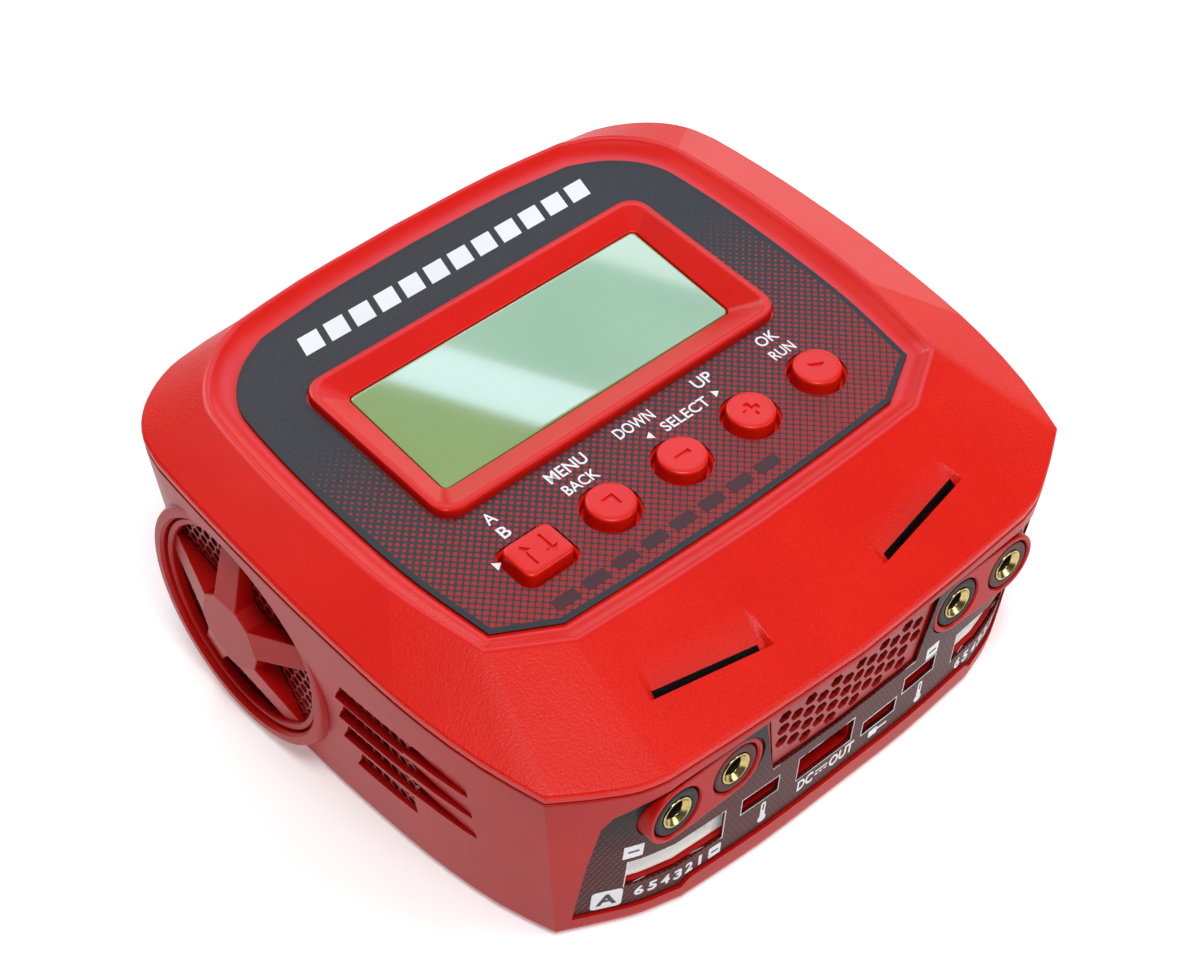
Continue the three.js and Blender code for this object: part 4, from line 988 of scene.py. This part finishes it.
# ------------------------------------------------------------------ output sockets
RING = [(4.85, -56.2), (4.85, -65.2), (4.72, -65.5), (4.45, -65.65), (3.45, -65.65), (3.2, -65.5),
        (3.2, -56.2)]
BULLET = [(0.02, -51.0), (3.1, -51.0), (3.1, -65.6), (3.02, -65.75), (2.92, -65.8), (2.8, -65.76),
          (2.72, -65.6), (1.95, -64.95), (1.85, -64.85), (1.85, -64.8), (1.85, -53.5), (0.02, -53.5)]
for n, x in enumerate((-SOCK_X[0], -SOCK_X[1], SOCK_X[1], SOCK_X[0]), 1):
    ring = drum("ring", "y", RING, x, SOCK_Z, 64, closed=True)
    tag = "black" if n % 2 else "red"
    finish_piece(ring, f"socket_ring_{n}_insulator", M["ins_" + tag],
                 [f"socket_ring_{n}"], sharp=40)
    tube = drum("tube", "y", BULLET, x, SOCK_Z, 64)
    finish_piece(tube, f"socket_{n}_bullet", [M["brass"], M["dark_hole"]], [f"socket_{n}"],
                 sharp=50)
    # painted shade: the brass bore beyond the shallow flare gets the near-black material, standing in for
    # the shade deep in the socket
    for p in tube.data.polygons:
        q = np.array(p.center) * 1000 - SHIFT
        if math.hypot(q[0] - x, q[2] - SOCK_Z) < 1.93 and q[1] > -64.84:
            p.material_index = 1

# ------------------------------------------------------------------ small ports
for x, tag in zip(BAL_X, "ab"):
    z0, z1 = BAL_Z - BAL_H / 2 + 0.25, BAL_Z + BAL_H / 2 - 0.25
    header = block("h", x - 9.1, x + 11.3, -75, -51, z0, z1)
    boolean(header, wall_solid(PANEL_IN + 0.9, -3, 0.3), "INTERSECT")
    boolean(header, block("c", x - 8.5, x + 8.5, -75, -54.0, z0 + 0.7, z1 - 0.7))
    for dx in (-6.2, 6.2):
        boolean(header, block("c", x + dx - 0.8, x + dx + 0.8, -75, -58.5, z1 - 1.0, z1 + 0.4))
    soften(header, lambda p: p[1] < -58, 0.12, 2, 40)
    finish_piece(header, f"balance_port_{tag}_header", M["nylon"], [f"balance_port_{tag}"],
                 sharp=40)
    pins = []
    for k in range(7):
        px = x - 7.5 + k * 2.5
        sizes = ((0.32, -53.8), (0.32, -58.4), (0.16, -59.0))
        pins.append(prism("pin", [front([(px + u * g, BAL_Z + v * g) for u, v in SQUARE], y)
                                  for g, y in sizes]))
    finish_piece(joined("pins", pins), f"balance_port_{tag}_pins", M["steel"], sharp=20)


def shell(name, x, z, w, h, wall, y0, y1, back, radius=0.5):
    """Thin sheet shell of a connector, closed at the back."""
    outer = through(round_rect(x - w / 2, x + w / 2, z - h / 2, z + h / 2, radius, 4), y0, y1, name)
    w, h, radius = w - 2 * wall, h - 2 * wall, max(radius - wall, 0.12)
    inner = through(round_rect(x - w / 2, x + w / 2, z - h / 2, z + h / 2, radius, 4), y0 - 5, y0 + back)
    return boolean(outer, inner)


x, z = USB[:2]
usb = shell("usb", x, z, 12.2, 5.0, 0.32, -61.6, -49.0, 10.6)
for dx in (-3.2, 3.2):
    boolean(usb, block("c", x + dx - 0.7, x + dx + 0.7, -59.5, -54.5, z + 1.9, z + 2.9))
finish_piece(usb, "usb_port_shell", M["steel"], ["usb_port"], sharp=30)
tongue = block("t", x - 5.0, x + 5.0, -60.4, -51.2, z + 0.1, z + 1.5)
soften(tongue, lambda p: True, 0.18, 2, 30)
finish_piece(tongue, "usb_port_tongue", M["black"], sharp=30)
fingers = [block("f", x + dx - 0.5, x + dx + 0.5, -60.0, -53.0, z - 0.12, z + 0.14)
           for dx in (-3.5, -1.25, 1.25, 3.5)]
finish_piece(joined("f", fingers), "usb_port_contacts", M["brass"], sharp=30)


def micro_line(wide, foot, half):
    """The micro port's outline, from its half widths at the top and the foot and its half height."""
    x, z = MICRO[:2]
    right = [(foot, -half), (wide, half * -0.2), (wide, half)]
    return [(x + u, z + v) for u, v in right] + [(x - u, z + v) for u, v in right[::-1]]


x, z = MICRO[:2]
micro = through(micro_line(3.8, 2.7, 1.3), -61.6, -55.0, "micro")
boolean(micro, through(micro_line(3.5, 2.5, 1.02), -66.0, -56.2))
finish_piece(micro, "micro_port_shell", M["steel"], ["micro_port"], sharp=30)
blade = block("t", x - 2.2, x + 2.2, -60.6, -56.3, z - 0.2, z + 0.4)
soften(blade, lambda p: True, 0.1, 2, 30)
finish_piece(blade, "micro_port_tongue", M["black"], sharp=30)
for (x, z), tag in zip(TEMP, "ab"):
    body = shell("temp", x, z, 7.2, 3.2, 0.55, -61.4, -54.0, 6.0, 0.3)
    boolean(body, block("c", x + 1.6, x + 2.8, -66, -57.0, z + 1.0, z + 2.2))
    finish_piece(body, f"temp_port_{tag}_header", M["dark_hole"], [f"temp_port_{tag}"],
                 sharp=30)
    pins = [block("p", x + dx - 0.3, x + dx + 0.3, -60.0, -55.2, z - 0.3, z + 0.3) for dx in (-1.25, 1.25)]
    finish_piece(joined("p", pins), f"temp_port_{tag}_pins", M["brass"], sharp=30)

# ------------------------------------------------------------------ inlets at the back
x, z, w, h = AC
inlet_line, mouth_line = (round_rect(x - w / 2 + g, x + w / 2 - g, z - h / 2 + g, z + h / 2 - g, 1.6, 6)
                          for g in (0.3, 1.4))
inlet_rings = [front(inlet_line, 42.0), front(inlet_line, 54.8), front(mouth_line, 54.8)]
inlet = prism("i", rounded(inlet_rings, [0, 0.6, 0], 4))


def scaled(line, ku, kv, y):
    """An outline about the inlet's middle (x, z), scaled, at depth y."""
    return front([(u * ku + x, v * kv + z) for u, v in line], y)


SOCKET_LINE = [(-12, -8), (12, -8), (12, 3), (7, 8), (-7, 8), (-12, 3)]
cut_rings = [scaled(SOCKET_LINE, k, k, y) for k, y in ((1.0, 44.0), (1.0, 54.1), (1.07, 56.0))]
boolean(inlet, prism("c", rounded(cut_rings, [0, 0.2, 0], 2)))
core_rings = [scaled(SOCKET_LINE, ku, kv, y)
              for ku, kv, y in ((0.72, 0.66, 43.5), (0.72, 0.66, 50.2), (0.70, 0.64, 50.4))]
boolean(inlet, prism("core", core_rings), "UNION")
soften(inlet, lambda p: p[1] > 53.5, 0.18, 2, 40)
finish_piece(inlet, "mains_inlet_body", M["black"], ["mains_inlet"], sharp=35)
pins = []
for u, v in ((-7, -2), (7, -2), (0, 3)):
    pin = block("p", x + u - 1, x + u + 1, 43, 52.5, z + v - 2, z + v + 2)
    soften(pin, lambda p: p[1] > 52.3, 0.5, 2, 30)
    pins.append(pin)
finish_piece(joined("p", pins), "mains_inlet_pins", M["steel"], sharp=30)
x, z, w, h = DC
DC_LINE = [(-8.4, -4.5), (5.6, -4.5), (8.4, -1.7), (8.4, 1.7), (5.6, 4.5), (-8.4, 4.5)]
dc_rings = [scaled(DC_LINE, k, k, y) for k, y in ((1, 42.0), (1, 54.4), (0.93, 54.4))]
dc = prism("d", rounded(dc_rings, [0, 0.4, 0], 3))
boolean(dc, prism("c", [scaled(DC_LINE, 0.86, 0.80, y) for y in (46.0, 60.0)]))
finish_piece(dc, "battery_inlet_body", M["yellow"], ["battery_inlet"], sharp=35)
BATTERY_PIN = [(0.02, 44.5), (1.9, 44.5), (1.9, 48.7), (1.75, 49.0), (1.4, 49.2), (0.02, 49.2)]
pins = []
for u in (-3.6, 3.6):
    pin = drum("p", "y", BATTERY_PIN, x + u, z, 40)
    boolean(pin, block("c", x + u - 0.18, x + u + 0.18, 46.2, 50, z - 3, z + 3))
    boolean(pin, block("c", x + u - 3, x + u + 3, 46.2, 50, z - 0.18, z + 0.18))
    pins.append(pin)
finish_piece(joined("p", pins), "battery_inlet_pins", M["brass"], sharp=35)

# ------------------------------------------------------------------ feet and screws
PAD = [(0.05, -0.55), (2.2, -0.6), (2.6, -0.95), (3.0, -1.0), (5.2, -1.0), (5.7, -0.85), (5.95, -0.5),
       (6.0, 0.5), (0.05, 0.5)]
SCREW_HEAD = [(0.05, 0.7), (1.5, 0.6), (2.4, 0.72), (2.75, 1.0), (2.8, 1.4), (2.8, 2.0), (1.45, 2.0)]
THREAD = 1.2
for n, (x, y) in enumerate(FEET_AT, 1):
    foot = drum("foot", "z", PAD, x, y, 64)
    finish_piece(foot, f"foot_{n}_pad", M["rubber"], [f"foot_{n}"], sharp=40)
for n, (x, y, z) in enumerate(POSTS, 1):
    turns = [q for k in range(int((z - 8) / THREAD))
             for q in ((1.1, 3.4 + k * THREAD), (1.45, 4.0 + k * THREAD))]
    screw = drum("screw", "z", SCREW_HEAD + turns + [(1.1, z - 3.4), (0.1, z - 2)], x, y, 32)
    for w, d in ((0.38, 1.7), (1.7, 0.38)):
        boolean(screw, block("c", x - w, x + w, y - d, y + d, 0, 1.5))
    finish_piece(screw, f"case_screw_{n}_body", M["steel"], [f"case_screw_{n}"], sharp=40)

# ------------------------------------------------------------------ inner parts that keep their own shape
INNER = {"lcd_module": "board", "button_board": "board", "main_board": "board", "transformer": "yellow",
         "heat_sink": "aluminium",
         "capacitor_1": "blue", "capacitor_2": "blue", "inductor": "copper", "fan_frame": "black",
         "fan_rotor": "black"}
INNER.update({f"switch_{n}": "black" for n in range(1, 6)})
for name, key in INNER.items():
    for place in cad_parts[name].material_slots:
        place.material = M[key]

# ------------------------------------------------------------------ printed legends
scene = bpy.context.scene


def letters(text, x0, x1, y0, y1, slant=0.0, bold=0.012):
    """A word in the built-in face, filling the box, as points (u, v, 0 or 1) and faces."""
    curve = bpy.data.curves.new("t", "FONT")
    curve.body, curve.extrude, curve.shear, curve.offset, curve.resolution_u = text, 0.5, slant, bold, 3
    ob = bpy.data.objects.new("t", curve)
    scene.collection.objects.link(ob)
    me = bpy.data.meshes.new_from_object(ob.evaluated_get(bpy.context.evaluated_depsgraph_get()))
    co = np.array([v.co[:] for v in me.vertices])
    faces = [tuple(p.vertices) for p in me.polygons]
    bpy.data.objects.remove(ob)
    bpy.data.curves.remove(curve)
    bpy.data.meshes.remove(me)
    lo, hi = co.min(0), co.max(0)
    return (co - lo) / (hi - lo) * np.array([x1 - x0, y1 - y0, 1]) + np.array([x0, y0, 0]), faces


def patch(points):
    """A flat filled outline, as points (u, v, 0 or 1) and faces."""
    n = len(points)
    pts = np.array([(p[0], p[1], w) for w in (0, 1) for p in points])
    faces = [tuple(range(n - 1, -1, -1)), tuple(range(n, 2 * n))]
    faces += [(i, (i + 1) % n, n + (i + 1) % n, n + i) for i in range(n)]
    return pts, faces


def sheet(x0, x1, y0, y1, nx=8, ny=6):
    """A finely divided rectangle, to lie on the curved part of the film."""
    layers = [(x0 + (x1 - x0) * i / nx, y0 + (y1 - y0) * j / ny, w) for w in (0, 1) for j in range(ny + 1)
              for i in range(nx + 1)]
    return np.array(layers), slab_faces(nx, ny)


def bar(x0, x1, y0, y1, r=0.0):
    return patch(round_rect(x0, x1, y0, y1, r, 4) if r else [(x0, y0), (x1, y0), (x1, y1), (x0, y1)])


def printed(name, items, place, material, low=0.0, high=0.05):
    points, faces, base_index = [], [], 0
    for pts, fcs in items:
        points += [place(p[0], p[1], low + (high - low) * p[2]) for p in pts]
        faces += [tuple(i + base_index for i in f) for f in fcs]
        base_index += len(pts)
    ob = mesh_object(name, np.array(points), faces)
    fix_normals(ob)
    return finish_piece(ob, name, material, sharp=20, weighted=False)


def on_label(u, v, h):
    p = PANEL @ Vector((u, v / math.cos(math.atan(TILT)), h))
    return (p.x, p.y, p.z)


FILM_LOW, FILM_HIGH = wall_rings(PANEL_IN - 0.75, -2, 0.2)


def film_y(x, z):
    t = (z - FILM_LOW[:, 2]) / (FILM_HIGH[:, 2] - FILM_LOW[:, 2])
    at_z = FILM_LOW[:, :2] + (FILM_HIGH[:, :2] - FILM_LOW[:, :2]) * t[:, None]
    at_z = at_z[at_z[:, 1] < -45]
    order = np.argsort(at_z[:, 0])
    return float(np.interp(x, at_z[order, 0], at_z[order, 1]))


def on_film(u, v, h):
    return (u, film_y(u, v) - h, v)


# generic words only, each with its left and right end, its foot and its height
CAP, SMALL_CAP = 2.55, 2.55 * 0.92
WORDS = (
    ("A", -34.3, -32.2, -13.7, CAP), ("B", -34.2, -32.3, -17.5, CAP), ("MENU", -20.2, -11.5, -13.5, CAP),
    ("DOWN", -4.3, 4.2, -13.4, CAP), ("UP", 14.4, 18.6, -13.3, CAP), ("OK", 30.3, 34.8, -13.2, CAP),
    ("BACK", -19.7, -12.4, -17.3, SMALL_CAP), ("SELECT", 3.2, 13.9, -17.2, SMALL_CAP),
    ("RUN", 30.0, 35.3, -17.1, SMALL_CAP))
white = [letters(text, x0, x1, y0, y0 + tall) for text, x0, x1, y0, tall in WORDS]
white.append(patch([(-0.6, -16.0), (0.7, -16.9), (0.7, -15.1)]))
white.append(patch([(16.9, -15.8), (15.6, -14.9), (15.6, -16.7)]))
white.append(patch([(-38.0, -21.0), (-39.4, -20.0), (-39.4, -22.0)]))
# a plain row of slanted bars stands where a title would be
for k in range(12):
    x0, wide, lean = -33.0 + k * 5.75, 4.3, 1.2
    white.append(patch([(x0, 37.0), (x0 + wide, 37.0), (x0 + wide + lean, 41.4), (x0 + lean, 41.4)]))
printed("label_legends_white", white, on_label, M["white_ink"])
# and a plain row of dark bars along the front edge of the label
dark = [bar(x0, x0 + 5.0, -34.8, -32.4, 0.4) for x0 in np.arange(8) * 6.6 - 37.5]
printed("label_legend_dark", dark, on_label, M["dark_ink"], 0.0, 0.04)

white, black = [], []
# each side's port, the left end and width of its letter's box, and its minus sign's middle, foot and height
SIDES = ((BAL_X[0], "A", -51.6, 4.8, -46.2, 19.3, 3.7), (BAL_X[1], "B", 49.6, 3.6, 22.3, 18.6, 3.1))
for x, tag, box_x, wide, minus, low, tall in SIDES:
    for k in range(6):
        u = x - 6.77 + k * 2.357
        half = 0.8 if k < 5 else 0.32
        white.append(letters(str(6 - k), u - half, u + half, 6.2, 9.0, 0.0, 0.025))
    white.append(bar(x + 6.9, x + 9.5, 6.1, 9.0, 0.3))
    black.append(bar(x + 7.45, x + 8.95, 7.35, 7.8))
    white.append(bar(box_x, box_x + wide, 4.5, 10.0, 0.8))
    black.append(letters(tag, box_x + 0.8, box_x + wide - 0.8, 5.6, 8.9, 0.0, 0.03))
    white.append(sheet(minus - 1.6, minus + 1.6, low, low + tall))
    black.append(sheet(minus - 0.9, minus + 0.9, low + tall / 2 - 0.25, low + tall / 2 + 0.25, 6, 2))
for x, z in TEMP:
    x += 1.2
    white.append(patch(circle(x, 7.9, 0.95, 20)))
    white.append(bar(x - 0.55, x + 0.55, 8.2, 12.6, 0.5))
    black.append(bar(x - 0.16, x + 0.16, 10.4, 12.1, 0.12))
white.append(letters("DC", -10.3, -6.5, 8.0, 11.0, 0.0, 0.025))
white.append(bar(-6.0, -3.0, 9.9, 10.25))
for k in range(3):
    white.append(bar(-6.0 + k * 1.1, -5.3 + k * 1.1, 9.0, 9.35))
white.append(letters("OUT", -2.5, 3.6, 8.0, 11.0, 0.0, 0.025))
white.append(bar(7.6, 9.8, 7.7, 9.5, 0.2))
white.append(bar(9.8, 12.3, 8.4, 8.8))
# thin pale edges where the film is cut
EDGE = 0.13
for x, z, w, h in BALANCE + SMALL:
    x0, x1, z0, z1 = x - w / 2 - CUT_GAP, x + w / 2 + CUT_GAP, z - h / 2 - CUT_GAP, z + h / 2 + CUT_GAP
    white += [bar(x0 - EDGE, x1 + EDGE, a, a + EDGE) for a in (z0 - EDGE, z1)]
    white += [bar(a, a + EDGE, z0, z1) for a in (x0 - EDGE, x1)]
white.append(bar(-17.6, 17.6, 21.3 - EDGE, 21.3))
printed("port_legends_white", white, on_film, M["white_ink"], -0.02, 0.07)
printed("port_legends_black", black, on_film, M["black_ink"], 0.06, 0.10)

# ------------------------------------------------------------------ floor, light and camera
floor = mesh_object("studio_floor", [(2500 * u, 2500 * v, -1.0) for u, v in SQUARE], [(0, 1, 2, 3)])
fm, _, fb = new_material("studio_white")
fb.inputs["Base Color"].default_value = (0.93, 0.93, 0.93, 1)
fb.inputs["Roughness"].default_value = 0.9
fb.inputs["Emission Color"].default_value = (1, 1, 1, 1)
fb.inputs["Emission Strength"].default_value = 0.30
floor.data.materials.append(fm)

world = bpy.data.worlds.new("studio")
scene.world = world
world.use_nodes = True
world.node_tree.nodes["Background"].inputs[0].default_value = (1, 1, 1, 1)
world.node_tree.nodes["Background"].inputs[1].default_value = 0.07


def area(name, where, target, size, power, size_y=None):
    light = bpy.data.lights.new(name, "AREA")
    light.shape = "RECTANGLE"
    light.size, light.size_y, light.energy = size, size_y or size, power
    ob = bpy.data.objects.new(name, light)
    ob.location = where
    ob.rotation_euler = (Vector(target) - Vector(where)).to_track_quat("-Z", "Y").to_euler()
    scene.collection.objects.link(ob)
    return ob


area("key", (-0.20, -0.33, 0.95), (0, 0, 0.03), 0.34, 6.6)
area("top", (0.10, 0.75, 0.85), (0, 0, 0.03), 0.30, 2.6)
area("front", (0.45, -0.75, 0.52), (0, 0, 0.03), 0.35, 2.4)
area("right_rim", (0.85, 0.30, 0.30), (0, 0, 0.04), 0.7, 1.6, 0.4)
area("back_rim", (0.25, 0.95, 0.25), (0, 0, 0.04), 0.8, 1.4, 0.3)
# three narrow panels, seen only as the soft bands that cross the display
SHEEN_AT, SHEEN_OUT = Vector((0.4625, 0.3804, 0.8032)), Vector((0.4842, 0.3794, 0.7884))
SHEEN_ALONG = Vector((0.5856, -0.8101, 0.0301)).normalized()
sheen_across = SHEEN_OUT.cross(SHEEN_ALONG).normalized()
BANDS = (
    ("band_a", -0.047, -0.019, 0.29, (0.60, 0.76, 1.0)),
    ("band_b", -0.018, 0.052, 0.29, (0.35, 0.68, 1.0)),
    ("band_c", 0.052, 0.150, 0.80, (0.64, 0.78, 1.0)))
for name, start, end, power, tint in BANDS:
    strip = area(name, SHEEN_AT, (0, 0, 0), end - start, power, 0.40)
    strip.data.color = tint
    turned_to = Matrix((-sheen_across, SHEEN_ALONG, SHEEN_OUT.normalized())).transposed().to_4x4()
    strip.matrix_world = Matrix.Translation(SHEEN_AT + sheen_across * (start + end) / 2) @ turned_to

az, el, roll = math.radians(-42.1), math.radians(44.95), math.radians(-0.41)
back = Vector((math.sin(az) * math.cos(el), -math.cos(az) * math.cos(el), math.sin(el)))
target = Vector(mm([4.78, 2.01, 25.0]))
camera_data = bpy.data.cameras.new("camera")
camera_data.sensor_width = 36.0
camera_data.lens = 74.4282
camera_data.clip_start = 0.01
camera = bpy.data.objects.new("camera", camera_data)
scene.collection.objects.link(camera)
right = (-back).cross(Vector((0, 0, 1))).normalized()
up = right.cross(-back)
r2 = math.cos(roll) * right + math.sin(roll) * up
u2 = -math.sin(roll) * right + math.cos(roll) * up
turned_to = Matrix((r2, u2, back)).transposed().to_4x4()
camera.matrix_world = Matrix.Translation(target + back * 0.45823) @ turned_to
scene.camera = camera
scene.view_settings.view_transform = "Standard"
